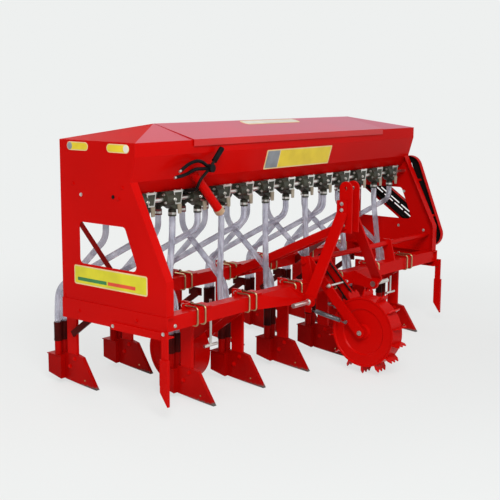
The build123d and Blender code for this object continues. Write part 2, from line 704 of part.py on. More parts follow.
def wedge(wall):
    """The gusset's outer form for no wall, or the hollow inside its walls."""
    x, y = CHEEK_X + CHEEK_THICK + wall, WEDGE_FRONT_Y + wall
    slope = (WEDGE_TIP_X - PIN_ROOT_X) / (FRONT_BAR_Y - WEDGE_FRONT_Y)
    shift = wall * math.hypot(1, slope)
    over = 1.0 if wall else 0.0
    plan = [(x, y), (PIN_ROOT_X + wall * slope - shift, y), (WEDGE_TIP_X - shift, FRONT_BAR_Y),
            (WEDGE_TIP_X - shift, FRONT_BAR_Y + over), (x, FRONT_BAR_Y + over)]
    if not wall:
        plan = [plan[0], plan[1], plan[2], plan[4]]
    drop = wall * 1.2
    rise = BAR_LOW + BAR_SIZE - WEDGE_FRONT_Z
    edge_z = WEDGE_FRONT_Z + rise * wall / (FRONT_BAR_Y - WEDGE_FRONT_Y)
    side = [(y, WEDGE_LOW - over), (y, edge_z - drop), (FRONT_BAR_Y + over, BAR_LOW + BAR_SIZE - drop),
            (FRONT_BAR_Y + over, WEDGE_LOW - over)]
    return profile_xy(plan, (WEDGE_LOW - over, BAR_LOW + BAR_SIZE)) & profile_yz(side, (x, WEDGE_TIP_X))


def hitch_bracket():
    """Cheek plate at the pin with a hollow gusset back to the front bar."""
    x = (CHEEK_X, CHEEK_X + CHEEK_THICK)
    low, high = LOWER_PIN_Z - CHEEK_NOSE_R, LOWER_PIN_Z + CHEEK_NOSE_R
    plate = profile_yz([(LOWER_PIN_Y, low), (FRONT_BAR_Y, WEDGE_LOW), (FRONT_BAR_Y, BAR_LOW + BAR_SIZE),
                        (WEDGE_FRONT_Y, high + 2), (LOWER_PIN_Y, high)], x)
    nose = rod((x[0], LOWER_PIN_Y, LOWER_PIN_Z), (x[1], LOWER_PIN_Y, LOWER_PIN_Z), CHEEK_NOSE_R)
    return plate + nose + (wedge(0) - wedge(WEDGE_WALL)) - pin_hole()


def lower_pin():
    shoulder = rod((CHEEK_X, LOWER_PIN_Y, LOWER_PIN_Z), (PIN_ROOT_X, LOWER_PIN_Y, LOWER_PIN_Z), PIN_SHOULDER_R)
    end = PIN_ROOT_X + LOWER_PIN_LENGTH
    return shoulder + rod((PIN_ROOT_X, LOWER_PIN_Y, LOWER_PIN_Z), (end, LOWER_PIN_Y, LOWER_PIN_Z), LOWER_PIN_R)


def mast_brace():
    """Flat bar from the foot of the mast plate back to the face of the rear bar."""
    x = MAST_GAP / 2 + MAST_PLATE + BRACE_THICK / 2
    top = Vector(x, MAST_Y, MAST_FOOT_Z + 41)
    foot = Vector(x, REAR_BAR_Y, BRACE_FOOT_Z)
    foot = foot + (foot - top).normalized() * BRACE_OVERRUN
    return flat_bar(tuple(top), tuple(foot), BRACE_WIDTH, BRACE_THICK, (0, 0, 1)) - bar_envelope(REAR_BAR_Y)


def splayed_brace():
    """Third flat bar, from the rear edge of the right mast leg out to the rear bar."""
    top = Vector(MAST_GAP / 2 + MAST_PLATE + 6, MAST_Y, MAST_FOOT_Z + 83)
    foot = Vector(SPLAY_X, REAR_BAR_Y, BRACE_FOOT_Z)
    foot = foot + (foot - top).normalized() * BRACE_OVERRUN
    bar = flat_bar(tuple(top), tuple(foot), BRACE_WIDTH, BRACE_THICK, (0, 0, 1))
    front = block((-100, SPLAY_X), (MAST_Y - 100, LEG_Y[1]), (MAST_FOOT_Z - 200, LINK_Z))
    return bar - front - bar_envelope(REAR_BAR_Y)


# Ground drive wheel: closed dished drum with toothed lugs
def dished_wheel(half, dish, bore):
    """A closed wheel about the X axis, dished on both sides by a table of (inset, radius)."""
    side = [(half - inset, radius) for inset, radius in dish] + [(half, bore)]
    other = [(-a, radius) for a, radius in side[::-1]]
    return revolve(make_face(Polyline(*side, *other, close=True)), axis=Axis.X)


def drive_wheel():
    piece = dished_wheel(WHEEL_WIDTH / 2, DRIVE_DISH, AXLE_R + RUN_GAP)
    lug_face = Plane.XZ * make_face(Polyline(*lug_points(), close=True))
    lug = Pos(0, LUG_THICK / 2, 0) * extrude(lug_face, amount=LUG_THICK)
    for k in range(LUGS):
        piece = piece + Rot(360.0 * k / LUGS, 0, 0) * lug
    return Pos(0, WHEEL_Y, WHEEL_Z) * piece


def lug_points():
    """Outline of a lug in (x, radius): a plate across the drum with three pointed teeth."""
    half = WHEEL_WIDTH / 2
    root = WHEEL_R - 4
    valley = WHEEL_R + 20
    tooth = WHEEL_WIDTH / 3
    points = [(-half, root), (-half, valley)]
    for k in range(3):
        left = -half + k * tooth
        points += [(left + tooth * 0.5, LUG_TIP_R), (left + tooth, valley)]
    points.append((half, root))
    return points


def wheel_arm():
    x = ARM_X
    a = (x, CROSS_Y, CROSS_Z)
    b = (x, WHEEL_Y, WHEEL_Z)
    bar = flat_bar(a, b, ARM_WIDTH, ARM_THICK, (0, 1, -1))
    ends = []
    for p in (a, b):
        ends.append(rod((x - ARM_THICK / 2, p[1], p[2]), (x + ARM_THICK / 2, p[1], p[2]), ARM_WIDTH / 2))
    arm = bar + ends[0] + ends[1]
    arm = arm - rod((x - 20, CROSS_Y, CROSS_Z), (x + 20, CROSS_Y, CROSS_Z), CROSS_R + RUN_GAP)
    return arm - rod((x - 20, WHEEL_Y, WHEEL_Z), (x + 20, WHEEL_Y, WHEEL_Z), AXLE_R)


def wheel_axle():
    end = ARM_X + ARM_THICK / 2
    axle = rod((-end, WHEEL_Y, WHEEL_Z), (end, WHEEL_Y, WHEEL_Z), AXLE_R)
    for s in (-1, 1):
        a = s * (WHEEL_WIDTH / 2 + SWING_GAP / 2)
        b = s * (ARM_X - ARM_THICK / 2)
        axle = axle + rod((min(a, b), WHEEL_Y, WHEEL_Z), (max(a, b), WHEEL_Y, WHEEL_Z), COLLAR_R)
    return axle


def cross_shaft():
    return rod((CROSS_LEFT_X, CROSS_Y, CROSS_Z), (SHAFT_END_X, CROSS_Y, CROSS_Z), CROSS_R)


def shaft_posts():
    """Uprights on the front bar that carry the cross shaft and the arms."""
    shapes = []
    for x in (-POST_X, POST_X, DEPTH_X):
        outline = [(FRONT_BAR_Y, BAR_LOW + BAR_SIZE), (FRONT_BAR_Y + BAR_SIZE, BAR_LOW + BAR_SIZE),
                   (CROSS_Y + 24, CROSS_Z + 24), (CROSS_Y - 24, CROSS_Z + 24)]
        post = profile_yz(outline, (x - POST_THICK / 2, x + POST_THICK / 2))
        shapes.append(post - rod((x - 10, CROSS_Y, CROSS_Z), (x + 10, CROSS_Y, CROSS_Z), CROSS_R + RUN_GAP))
    return shapes


def wheel_spring():
    """Tension spring between the lug under the front bar and the arm, as its outer shape."""
    face = ARM_X + ARM_THICK / 2
    x = face + SPRING_R + 2
    low, high = SPRING_LOW, SPRING_HIGH
    spring = rod((x, *high), (x, *low), SPRING_R)
    arm_pin = rod((face, *low), (x + 6, *low), 6)
    lug_pin = rod((x - 6, *high), (x + SPRING_R + 2, *high), 6)
    return spring + arm_pin + lug_pin


def spring_lug():
    x = ARM_X + ARM_THICK / 2 + 2 * SPRING_R + 4
    return block((x, x + 8), (FRONT_BAR_Y + 4, FRONT_BAR_Y + 40), (SPRING_HIGH[1] - 14, BAR_LOW))


# Chain case outside the right end panel
def stadium(low, high, radius, x):
    """A plate rounded about two centres, each (y, z)."""
    a, b = Vector(0, *low), Vector(0, *high)
    along = (b - a).normalized()
    across = Vector(0, -along.Z, along.Y) * radius
    points = [(a + across), (b + across), (b - across), (a - across)]
    middle = profile_yz([(p.Y, p.Z) for p in points], x)
    return middle + rod((x[0], *low), (x[1], *low), radius) + rod((x[0], *high), (x[1], *high), radius)


def guard_form(inset, x):
    """The two branches of the guard from the cross shaft, as one plate."""
    hub = (CROSS_Y, CROSS_Z)
    front = stadium(hub, GUARD_TOP, GUARD_TOP_R - inset, x)
    return front + stadium(hub, (SEED_SHAFT_Y, SEED_SHAFT_Z), GUARD_REAR_R - inset, x)


def guard_slots(end, count):
    """Two staggered rows of slots along a branch, cut through the cover."""
    hub = Vector(0, CROSS_Y, CROSS_Z)
    along = (Vector(0, *end) - hub).normalized()
    across = Vector(0, -along.Z, along.Y)
    cover = Vector(GUARD_X[1] - GUARD_SHEET / 2, 0, 0)
    slots = []
    for k in range(count):
        start = hub + cover + along * (SLOT_START + SLOT_PITCH / 2 * k) + across * SLOT_OFFSET * (-1) ** k
        slots.append(flat_bar(tuple(start), tuple(start + along * SLOT_LENGTH), SLOT_WIDTH, GUARD_SHEET * 3,
                              tuple(across)))
    return slots


def chain_guard():
    """Slotted cover over both chains, held off the panel by two standoffs."""
    cover_x = GUARD_X[1] - GUARD_SHEET
    guard = guard_form(0, GUARD_X) - guard_form(GUARD_SHEET, (GUARD_X[0] - 1, cover_x))
    for slot in guard_slots(GUARD_TOP, 7) + guard_slots((SEED_SHAFT_Y, SEED_SHAFT_Z), 9):
        guard = guard - slot
    for y, z in STANDOFFS:
        guard = guard + rod((HALF_WIDTH, y, z), (cover_x, y, z), STANDOFF_R)
    return guard


# The drives: x of the chain, its two sprocket centres as (y, z), their pitch radii and bores, half its height
DRIVES = [
    {"x": GUARD_X[0] + 4, "low": (CROSS_Y, CROSS_Z), "high": (FERT_SHAFT_Y, FERT_SHAFT_Z), "radii": (34.0, 34.0),
     "bores": (CROSS_R, FEED_SHAFT_R), "half": 5.0},
    {"x": GUARD_X[0] + 13, "low": (CROSS_Y, CROSS_Z), "high": (SEED_SHAFT_Y, SEED_SHAFT_Z), "radii": (36.0, 36.0),
     "bores": (CROSS_R, FEED_SHAFT_R), "half": 5.0},
    {"x": WHEEL_WIDTH / 2 + SWING_GAP + 0.5, "low": (WHEEL_Y, WHEEL_Z), "high": (CROSS_Y, CROSS_Z),
     "radii": (26.0, 21.5), "bores": (COLLAR_R, CROSS_R), "half": 4.0},
]


def chain_route(low, high, radii):
    """Points and outward directions at every half link, round two sprockets."""
    a, b = Vector(0, *low), Vector(0, *high)
    along = (b - a).normalized()
    across = Vector(0, -along.Z, along.Y)
    lean = math.asin((radii[0] - radii[1]) / (b - a).length)
    run = (b - a).length * math.cos(lean)
    high_arc, low_arc = radii[1] * (math.pi - 2 * lean), radii[0] * (math.pi + 2 * lean)
    total = 2 * run + high_arc + low_arc
    steps = 2 * round(total / CHAIN_PITCH)
    stations = []
    for k in range(steps):
        s = total * k / steps
        if s < run:
            angle, centre, radius, slide = math.pi / 2 - lean, a, radii[0], s
        elif s < run + high_arc:
            angle, centre, radius, slide = math.pi / 2 - lean - (s - run) / radii[1], b, radii[1], 0.0
        elif s < 2 * run + high_arc:
            angle, centre, radius, slide = lean - math.pi / 2, b, radii[1], s - run - high_arc
        else:
            angle = lean - math.pi / 2 - (s - 2 * run - high_arc) / radii[0]
            centre, radius, slide = a, radii[0], 0.0
        normal = along * math.cos(angle) + across * math.sin(angle)
        ahead = along * math.sin(angle) - across * math.cos(angle)
        stations.append((centre + normal * radius + ahead * slide, normal))
    return stations


def chain(drive):
    """A roller chain as one loop whose edges swell at each pin."""
    outer, inner = [], []
    for k, (point, normal) in enumerate(chain_route(drive["low"], drive["high"], drive["radii"])):
        half = drive["half"] * (WAIST_SHARE if k % 2 else 1.0)
        outer.append((point.Y + normal.Y * half, point.Z + normal.Z * half))
        inner.append((point.Y - normal.Y * half, point.Z - normal.Z * half))
    x = (drive["x"], drive["x"] + CHAIN_WIDE)
    return profile_yz(outer, x) - profile_yz(inner, (x[0] - 1, x[1] + 1))


def sprockets(drive):
    """The two sprockets of a drive; their teeth show where the chain has left them."""
    shapes = []
    low, high = Vector(0, *drive["low"]), Vector(0, *drive["high"])
    x = (drive["x"], drive["x"] + CHAIN_WIDE)
    for centre, other, radius, bore in ((low, high, drive["radii"][0], drive["bores"][0]),
                                        (high, low, drive["radii"][1], drive["bores"][1])):
        toward = (other - centre).normalized()
        across = Vector(0, -toward.Z, toward.Y)
        teeth = round(2 * math.pi * radius / CHAIN_PITCH)
        points = []
        for k in range(4 * teeth):
            angle = math.pi * k / (2 * teeth)
            free = math.cos(angle) > 0.72 and k % 4 == 0
            reach = radius + TOOTH if free else radius - drive["half"] - CHAIN_SEAT
            p = centre + (toward * math.cos(angle) + across * math.sin(angle)) * reach
            points.append((p.Y, p.Z))
        bore_cut = rod((x[0] - 1, centre.Y, centre.Z), (x[1] + 1, centre.Y, centre.Z), bore + RUN_GAP)
        shapes.append(profile_yz(points, x) - bore_cut)
    return shapes


def depth_wheel(x):
    return Pos(x, DEPTH_Y, DEPTH_R) * dished_wheel(DEPTH_WIDTH / 2, DEPTH_DISH, DEPTH_AXLE_R + RUN_GAP)


def depth_bracket(x):
    """Fork under the front bar that carries the depth wheel on its axle."""
    piece = Part()
    for s in (-1, 1):
        px = x + s * DEPTH_ARM_X
        arm = flat_bar((px, DEPTH_Y, DEPTH_R), (px, FRONT_BAR_Y + BAR_SIZE / 2, BAR_LOW + 10), DEPTH_ARM_WIDTH,
                       DEPTH_ARM_THICK, (0, 0, 1))
        eye = rod((px - DEPTH_ARM_THICK / 2, DEPTH_Y, DEPTH_R), (px + DEPTH_ARM_THICK / 2, DEPTH_Y, DEPTH_R),
                  DEPTH_ARM_WIDTH / 2)
        piece = piece + arm + eye
    end = DEPTH_ARM_X + DEPTH_ARM_THICK / 2
    axle = rod((x - end, DEPTH_Y, DEPTH_R), (x + end, DEPTH_Y, DEPTH_R), DEPTH_AXLE_R)
    return piece + axle - bar_envelope(FRONT_BAR_Y)


def depth_screw():
    """Upright screw with a cross handle below, in a lug behind the front bar."""
    low, high = SCREW_Z
    back = FRONT_BAR_Y + BAR_SIZE
    screw = rod((SCREW_X, SCREW_Y, low), (SCREW_X, SCREW_Y, high), SCREW_R)
    half = SCREW_HANDLE / 2
    handle = rod((SCREW_X - half, SCREW_Y, low), (SCREW_X + half, SCREW_Y, low), SCREW_R + 1)
    lug = block((SCREW_X - 16, SCREW_X + 16), (back, SCREW_Y + 12), SCREW_LUG_Z)
    hole = rod((SCREW_X, SCREW_Y, low), (SCREW_X, SCREW_Y, high), SCREW_R + RUN_GAP)
    return [screw + handle, lug - hole]


def marker():
    """Arm along the channel and a leg with a pointed sleeve at its front end."""
    outer = HALF_WIDTH + CHANNEL_PROUD
    x = (outer, outer + MARKER_THICK)
    radius = MARKER_WIDTH / 2
    front, z = NOSE_Y - 20, MARKER_ARM_Z
    arm = block(x, (front + radius, MARKER_REAR_Y), (z - radius, z + radius))
    arm = arm + rod((x[0], front + radius, z), (x[1], front + radius, z), radius)
    edge = NOSE_Y - 30
    leg = block((x[1], x[1] + MARKER_THICK), (edge + 5, edge + 5 + MARKER_WIDTH), MARKER_LEG_Z)
    tip, heel, high = SLEEVE_Z
    sleeve = profile_yz([(edge, high), (edge + SLEEVE_WIDTH, high), (edge + SLEEVE_WIDTH, heel), (edge, tip)],
                        (x[1], x[1] + SLEEVE_THICK))
    return [arm, leg + sleeve]


def build():
    save("side_channels", [side_channel(), mirror_x(side_channel())])
    save("front_bar", [cross_bar(FRONT_BAR_Y)])
    save("rear_bar", [cross_bar(REAR_BAR_Y)])
    save("end_panel_right", [right_panel()])
    save("end_panel_left", [mirror_x(end_panel())])
    save("panel_brace", [panel_brace()])
    save("hopper", [hopper()])
    end = roof_end()
    save("roof_ends", [end, mirror_x(end)])
    lid_knuckles = hinge_knuckles(True)
    lid_piece = lid()
    for knuckle in lid_knuckles:
        lid_piece = lid_piece + knuckle
    save("lid", [lid_piece])
    save("lid_hinge_leaves", hinge_knuckles(False))

    front_rows = [(i, x) for i, x in rows() if i % 2 == 1]
    rear_rows = [(i, x) for i, x in rows() if i % 2 == 0]
    for name, some in (("front", front_rows), ("rear", rear_rows)):
        save(f"{name}_shanks", [shank(i, x) for i, x in some])
        save(f"{name}_shovels", [shovel(i, x) for i, x in some])
        save(f"{name}_boots", [boot(i, x) for i, x in some])
        save(f"{name}_clamps", [clamp(i, x) for i, x in some])
    save("rear_stays", [piece for i, x in rear_rows for piece in stay(i, x)])

    save("fertiliser_cups", [fert_unit(i) for i in range(ROWS)])
    save("seed_cups", [seed_unit(i) for i in range(ROWS)])
    save("fertiliser_cuffs", [cuff(i, False) for i in range(ROWS)])
    save("seed_cuffs", [cuff(i, True) for i in range(ROWS)])
    save("fertiliser_hoses", [hose(hose_points(i, x, False), HOSE_R) for i, x in rows()])
    save("seed_hoses", [hose(hose_points(i, x, True), HOSE_R) for i, x in rows()])
    save("unit_frames", [unit_frame(i) for i in range(ROWS)])
    save("shutters", [shutter(i) for i in range(ROWS)])
    shaft_ends = (-(HALF_WIDTH - SHEET), SHAFT_END_X)
    save("feed_shafts", [rod((shaft_ends[0], y, z), (shaft_ends[1], y, z), FEED_SHAFT_R)
                         for y, z in ((FERT_SHAFT_Y, FERT_SHAFT_Z), (SEED_SHAFT_Y, SEED_SHAFT_Z))])
    save("rate_lever", [rate_lever()])
    save("lever_grip", [lever_grip()])
    save("lever_cables", [lever_cables()])
    save("drain_pipe", [drain_pipe()])
    save("drain_plug", [drain_plug()])

    plate = mast_plate()
    save("mast_plates", [plate, mirror_x(plate)])
    leg = mast_leg()
    save("mast_legs", [leg, mirror_x(leg)])
    brace = mast_brace()
    save("mast_braces", [brace, mirror_x(brace)])
    save("splayed_brace", [splayed_brace()])
    bracket = hitch_bracket()
    save("hitch_brackets", [bracket, mirror_x(bracket)])
    pin = lower_pin()
    save("hitch_pins", [pin, mirror_x(pin)])

    save("drive_wheel", [drive_wheel()])
    arm = wheel_arm()
    save("wheel_arms", [arm, mirror_x(arm)])
    save("wheel_axle", [wheel_axle()])
    save("cross_shaft", [cross_shaft()])
    lug = spring_lug()
    save("shaft_posts", shaft_posts() + [lug, mirror_x(lug)])
    spring = wheel_spring()
    save("wheel_springs", [spring, mirror_x(spring)])
    save("chain_guard", [chain_guard()])
    save("drive_chains", [chain(drive) for drive in DRIVES])
    save("sprockets", [piece for drive in DRIVES for piece in sprockets(drive)])

    save("depth_wheel_left", [depth_wheel(-DEPTH_X)])
    save("depth_wheel_right", [depth_wheel(DEPTH_X)])
    save("depth_brackets", [depth_bracket(-DEPTH_X), depth_bracket(DEPTH_X)])
    screw, lug = depth_screw()
    save("depth_screws", [screw, mirror_x(screw)])
    save("screw_lugs", [lug, mirror_x(lug)])
    arm, leg = marker()
    save("marker_arms", [arm, mirror_x(arm)])
    save("marker_legs", [leg, mirror_x(leg)])


build()
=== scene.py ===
# %% [markdown]
# A seed drill is sheet steel, flat bar and cast parts under one red enamel. The frame comes in
# with every rigid piece in its place, in metres, so this lesson adds only finishes and the small
# things: bolts, U-bolts, springs, hose clamps and blank labels.

# %% Load the frame
import json
import math

import bmesh
import bpy
from mathutils import Matrix, Vector


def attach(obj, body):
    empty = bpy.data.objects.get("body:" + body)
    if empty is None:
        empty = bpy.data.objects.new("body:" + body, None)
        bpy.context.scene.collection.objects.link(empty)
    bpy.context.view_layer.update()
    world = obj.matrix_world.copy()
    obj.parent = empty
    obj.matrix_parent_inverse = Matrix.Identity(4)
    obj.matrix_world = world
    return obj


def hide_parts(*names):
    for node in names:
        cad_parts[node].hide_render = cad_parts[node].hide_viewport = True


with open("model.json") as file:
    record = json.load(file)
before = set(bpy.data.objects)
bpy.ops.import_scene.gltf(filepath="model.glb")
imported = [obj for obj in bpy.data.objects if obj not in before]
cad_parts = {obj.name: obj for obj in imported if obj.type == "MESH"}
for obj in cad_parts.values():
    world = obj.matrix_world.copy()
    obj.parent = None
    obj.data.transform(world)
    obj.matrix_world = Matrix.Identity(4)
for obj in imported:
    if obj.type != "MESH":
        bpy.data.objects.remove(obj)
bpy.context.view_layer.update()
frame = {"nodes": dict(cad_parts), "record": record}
scene = bpy.context.scene
scene.view_settings.view_transform = "Standard"
print("nodes:", len(frame["nodes"]))

# %% [markdown]
# The camera was worked out from the hopper and the end panels: their edges run along the three
# axes, so the vanishing points give the lens and the turn, and the panel's corners give the place.
# A matrix from the three camera axes sets the turn in one step and avoids mixing up Euler angles.

# %% Camera
CAMERA_PLACE = Vector((-4.157, -3.0612, 1.4262))
CAMERA_YAW = math.radians(39.045)
CAMERA_DIP = math.radians(9.395)
CAMERA_ROLL = math.radians(0.364)
CAMERA_LENS = 71.98
SENSOR = 36.0

forward = Vector((math.cos(CAMERA_YAW) * math.cos(CAMERA_DIP),
                  math.sin(CAMERA_YAW) * math.cos(CAMERA_DIP), -math.sin(CAMERA_DIP)))
right = Vector((math.sin(CAMERA_YAW), -math.cos(CAMERA_YAW), 0.0))
up = right.cross(forward)
turned_right = right * math.cos(CAMERA_ROLL) + up * math.sin(CAMERA_ROLL)
turned_up = up * math.cos(CAMERA_ROLL) - right * math.sin(CAMERA_ROLL)
camera_data = bpy.data.cameras.new("camera")
camera_data.lens = CAMERA_LENS
camera_data.sensor_width = SENSOR
camera = bpy.data.objects.new("camera", camera_data)
scene.collection.objects.link(camera)
turn = Matrix((turned_right, turned_up, -forward)).transposed().to_4x4()
camera.matrix_world = Matrix.Translation(CAMERA_PLACE) @ turn
scene.camera = camera
print("camera at", tuple(round(v, 2) for v in CAMERA_PLACE))

# %% [markdown]
# The studio is pale all round, with no line where the floor ends. The world and the floor show one
# backdrop colour to the camera, to gloss and through clear plastic, by Light Path, while the lamps
# and a white world at a plain level do the lighting. Near the machine the floor is partly a real
# surface, so it keeps the machine's soft shadow, and with distance it fades into the backdrop.

# %% World
BACKDROP = (0.855, 0.870, 0.864, 1.0)
FLOOR_COLOUR = (0.82, 0.835, 0.83, 1.0)
FLOOR_HALF = 30.0
FADE_START = 1.3
FADE_END = 4.0
BACKDROP_SHARE = 0.74
WORLD_LIGHT = 0.42


def add(tree, kind, **values):
    """A node of one kind, with its inputs set by name and its settings by attribute."""
    made = tree.nodes.new(kind)
    for key, value in values.items():
        label = key.replace("_", " ") if key.replace("_", " ") in made.inputs else key
        if label in made.inputs:
            made.inputs[label].default_value = value
        else:
            setattr(made, key, value)
    return made


def seen_directly(tree):
    """One for a ray from the camera, from gloss or through clear plastic, else nought."""
    path = add(tree, "ShaderNodeLightPath")
    total = path.outputs["Is Camera Ray"]
    for label in ("Is Glossy Ray", "Is Transmission Ray"):
        plus = add(tree, "ShaderNodeMath", operation="ADD", use_clamp=True)
        tree.links.new(total, plus.inputs[0])
        tree.links.new(path.outputs[label], plus.inputs[1])
        total = plus.outputs[0]
    return total


def new_material(name):
    """A material with an empty node tree, its tree and its output node."""
    made = bpy.data.materials.new(name)
    made.use_nodes = True
    made.node_tree.nodes.clear()
    return made, made.node_tree, add(made.node_tree, "ShaderNodeOutputMaterial")


world = bpy.data.worlds.new("studio")
scene.world = world
world.use_nodes = True
sky = world.node_tree
sky.nodes.clear()
sky_out = add(sky, "ShaderNodeOutputWorld")
sky_mix = add(sky, "ShaderNodeMixShader")
shown = add(sky, "ShaderNodeBackground", Color=BACKDROP, Strength=1.0)
lit = add(sky, "ShaderNodeBackground", Color=(1.0, 1.0, 1.0, 1.0), Strength=WORLD_LIGHT)
sky.links.new(seen_directly(sky), sky_mix.inputs[0])
sky.links.new(lit.outputs[0], sky_mix.inputs[1])
sky.links.new(shown.outputs[0], sky_mix.inputs[2])
sky.links.new(sky_mix.outputs[0], sky_out.inputs[0])
print("world ready")

# %% Floor
floor_finish, floor_tree, floor_out = new_material("pale_floor")
floor_shader = add(floor_tree, "ShaderNodeBsdfDiffuse", Color=FLOOR_COLOUR)
floor_glow = add(floor_tree, "ShaderNodeEmission", Color=BACKDROP, Strength=1.0)
floor_place = add(floor_tree, "ShaderNodeTexCoord")
floor_reach = add(floor_tree, "ShaderNodeVectorMath", operation="LENGTH")
floor_tree.links.new(floor_place.outputs["Object"], floor_reach.inputs[0])
fade = add(floor_tree, "ShaderNodeMapRange", interpolation_type="SMOOTHSTEP")
for part, value in (("From Min", FADE_START), ("From Max", FADE_END),
                    ("To Min", BACKDROP_SHARE), ("To Max", 1.0)):
    fade.inputs[part].default_value = value
floor_tree.links.new(floor_reach.outputs["Value"], fade.inputs["Value"])
share = add(floor_tree, "ShaderNodeMath", operation="MULTIPLY")
floor_tree.links.new(fade.outputs["Result"], share.inputs[0])
floor_tree.links.new(seen_directly(floor_tree), share.inputs[1])
floor_mix = add(floor_tree, "ShaderNodeMixShader")
floor_tree.links.new(share.outputs[0], floor_mix.inputs[0])
floor_tree.links.new(floor_shader.outputs[0], floor_mix.inputs[1])
floor_tree.links.new(floor_glow.outputs[0], floor_mix.inputs[2])
floor_tree.links.new(floor_mix.outputs[0], floor_out.inputs[0])
floor_mesh = bpy.data.meshes.new("floor")
floor_corners = [(x * FLOOR_HALF, y * FLOOR_HALF, 0)
                 for x, y in ((-1, -1), (1, -1), (1, 1), (-1, 1))]
floor_mesh.from_pydata(floor_corners, [], [(0, 1, 2, 3)])
floor = bpy.data.objects.new("floor", floor_mesh)
floor_mesh.materials.append(floor_finish)
scene.collection.objects.link(floor)
print("floor ready")

# %% [markdown]
# A wide key lamp hangs over the camera and lights the front and the left panel. A weak fill opens
# the shadows at the right, and a broad lamp behind edges the roof and the bars. All are large for
# the machine, so the shadows stay soft.

# %% Lamps
# Where each lamp hangs, the point that it looks at, its side in metres and its power in watts.
LAMPS = {"key": ((-3.7, -3.4, 4.2), (0, 0, 0.6), 2.6, 255),
         "fill": ((4.0, -4.0, 2.2), (0, 0, 0.6), 3.0, 18),
         "back": ((0.5, 4.5, 4.0), (0, 0, 0.8), 3.5, 90)}


def soft_lamp(name, place, aim, size, power):
    """A square area lamp at a place, turned to a point."""
    data = bpy.data.lights.new(name, "AREA")
    data.shape = "SQUARE"
    data.size = size
    data.energy = power
    lamp = bpy.data.objects.new(name, data)
    lamp.location = place
    lamp.rotation_euler = (Vector(aim) - Vector(place)).to_track_quat("-Z", "Y").to_euler()
    scene.collection.objects.link(lamp)


for name, settings in LAMPS.items():
    soft_lamp(name, *settings)
print("lamps ready:", ", ".join(LAMPS))

# %% [markdown]
# Red enamel on farm machines is sprayed and baked. Face on it is a deep pure red, so the frame has
# a low specular level, which puts little white over it. A fine noise drives the orange peel, and a
# broad noise varies the red where the spray is thicker. The lid and the roof lie at a low angle to
# the eye and look paler: they get a stronger mirror and a painted reflection, a pale tinted sheen.
# The slopes that face sideways go without it, so that they look darker, as painted shade.
# Uniform values sit on the shader's sockets.

# %% Enamel
ENAMEL_RED = (0.60, 0.0030, 0.0018)
ENAMEL_DEEP = (0.51, 0.0020, 0.0012)
ENAMEL_SPECULAR = 0.035
ENAMEL_CLOUDS = 1.6
PEEL_SCALE = 140.0
PEEL_SIZE = 0.0005
LID_SPECULAR = 0.34
# Painted reflection and shade on the lid and roof: the sheen, its tint, and the duller sideways
# slopes.
SHADED_SIDE_SPECULAR = 0.008
PAINTED_SHEEN = 0.60
PAINTED_SHEEN_SPREAD = 0.30
PAINTED_SHEEN_TINT = (0.80, 0.62, 1.0, 1.0)
SIDEWAYS_FROM = 0.06
SIDEWAYS_FULL = 0.12


def noise(tree, scale, detail=2.0, roughness=0.5):
    """A noise on the object's own coordinates."""
    place = add(tree, "ShaderNodeTexCoord")
    cloud = add(tree, "ShaderNodeTexNoise", Scale=scale, Detail=detail, Roughness=roughness)
    tree.links.new(place.outputs["Object"], cloud.inputs["Vector"])
    return cloud


def two_tone(tree, factor, low, high, begin=0.35, end=0.65):
    """A colour between two, by a value."""
    ramp = add(tree, "ShaderNodeValToRGB")
    ramp.color_ramp.elements[0].position = begin
    ramp.color_ramp.elements[0].color = (*low, 1.0)
    ramp.color_ramp.elements[1].position = end
    ramp.color_ramp.elements[1].color = (*high, 1.0)
    tree.links.new(factor, ramp.inputs["Fac"])
    return ramp.outputs["Color"]


def blended(tree, amount, low, high):
    """A colour between two, by an amount. Each of them is a plain colour or a node's socket."""
    blend = add(tree, "ShaderNodeMix", data_type="RGBA")
    tree.links.new(amount, blend.inputs[0])
    colours = [socket for socket in blend.inputs if socket.type == "RGBA"]
    for socket, value in zip(colours, (low, high)):
        if isinstance(value, tuple):
            socket.default_value = value
        else:
            tree.links.new(value, socket)
    return next(socket for socket in blend.outputs if socket.type == "RGBA")


def principled(tree):
    """The shader of a finish."""
    return next(node for node in tree.nodes if node.type == "BSDF_PRINCIPLED")


def finish(name, low, high, broad, fine, rough, metal=0.0, specular=0.5, bump_size=0.0004,
           bump_strength=0.25, rough_spread=0.06):
    """A Principled material: two tones in broad clouds, a fine grain as bump, uneven roughness."""
    made, tree, output = new_material(name)
    shader = add(tree, "ShaderNodeBsdfPrincipled", Metallic=metal)
    shader.inputs["Specular IOR Level"].default_value = specular
    clouds = noise(tree, broad)
    grain = noise(tree, fine, detail=3.0)
    tree.links.new(two_tone(tree, clouds.outputs["Fac"], low, high), shader.inputs["Base Color"])
    spread = add(tree, "ShaderNodeMapRange")
    spread.inputs["To Min"].default_value = rough - rough_spread
    spread.inputs["To Max"].default_value = rough + rough_spread
    tree.links.new(clouds.outputs["Fac"], spread.inputs["Value"])
    tree.links.new(spread.outputs["Result"], shader.inputs["Roughness"])
    ripple = add(tree, "ShaderNodeBump", Strength=bump_strength, Distance=bump_size)
    tree.links.new(grain.outputs["Fac"], ripple.inputs["Height"])
    tree.links.new(ripple.outputs["Normal"], shader.inputs["Normal"])
    tree.links.new(shader.outputs[0], output.inputs[0])
    return made


def baked_enamel(name, rough=0.24, specular=ENAMEL_SPECULAR, peel=0.12):
    """The red enamel with its own roughness, mirror and depth of orange peel."""
    return finish(name, ENAMEL_DEEP, ENAMEL_RED, ENAMEL_CLOUDS, PEEL_SCALE, rough,
                  specular=specular, bump_size=PEEL_SIZE, bump_strength=peel, rough_spread=0.03)


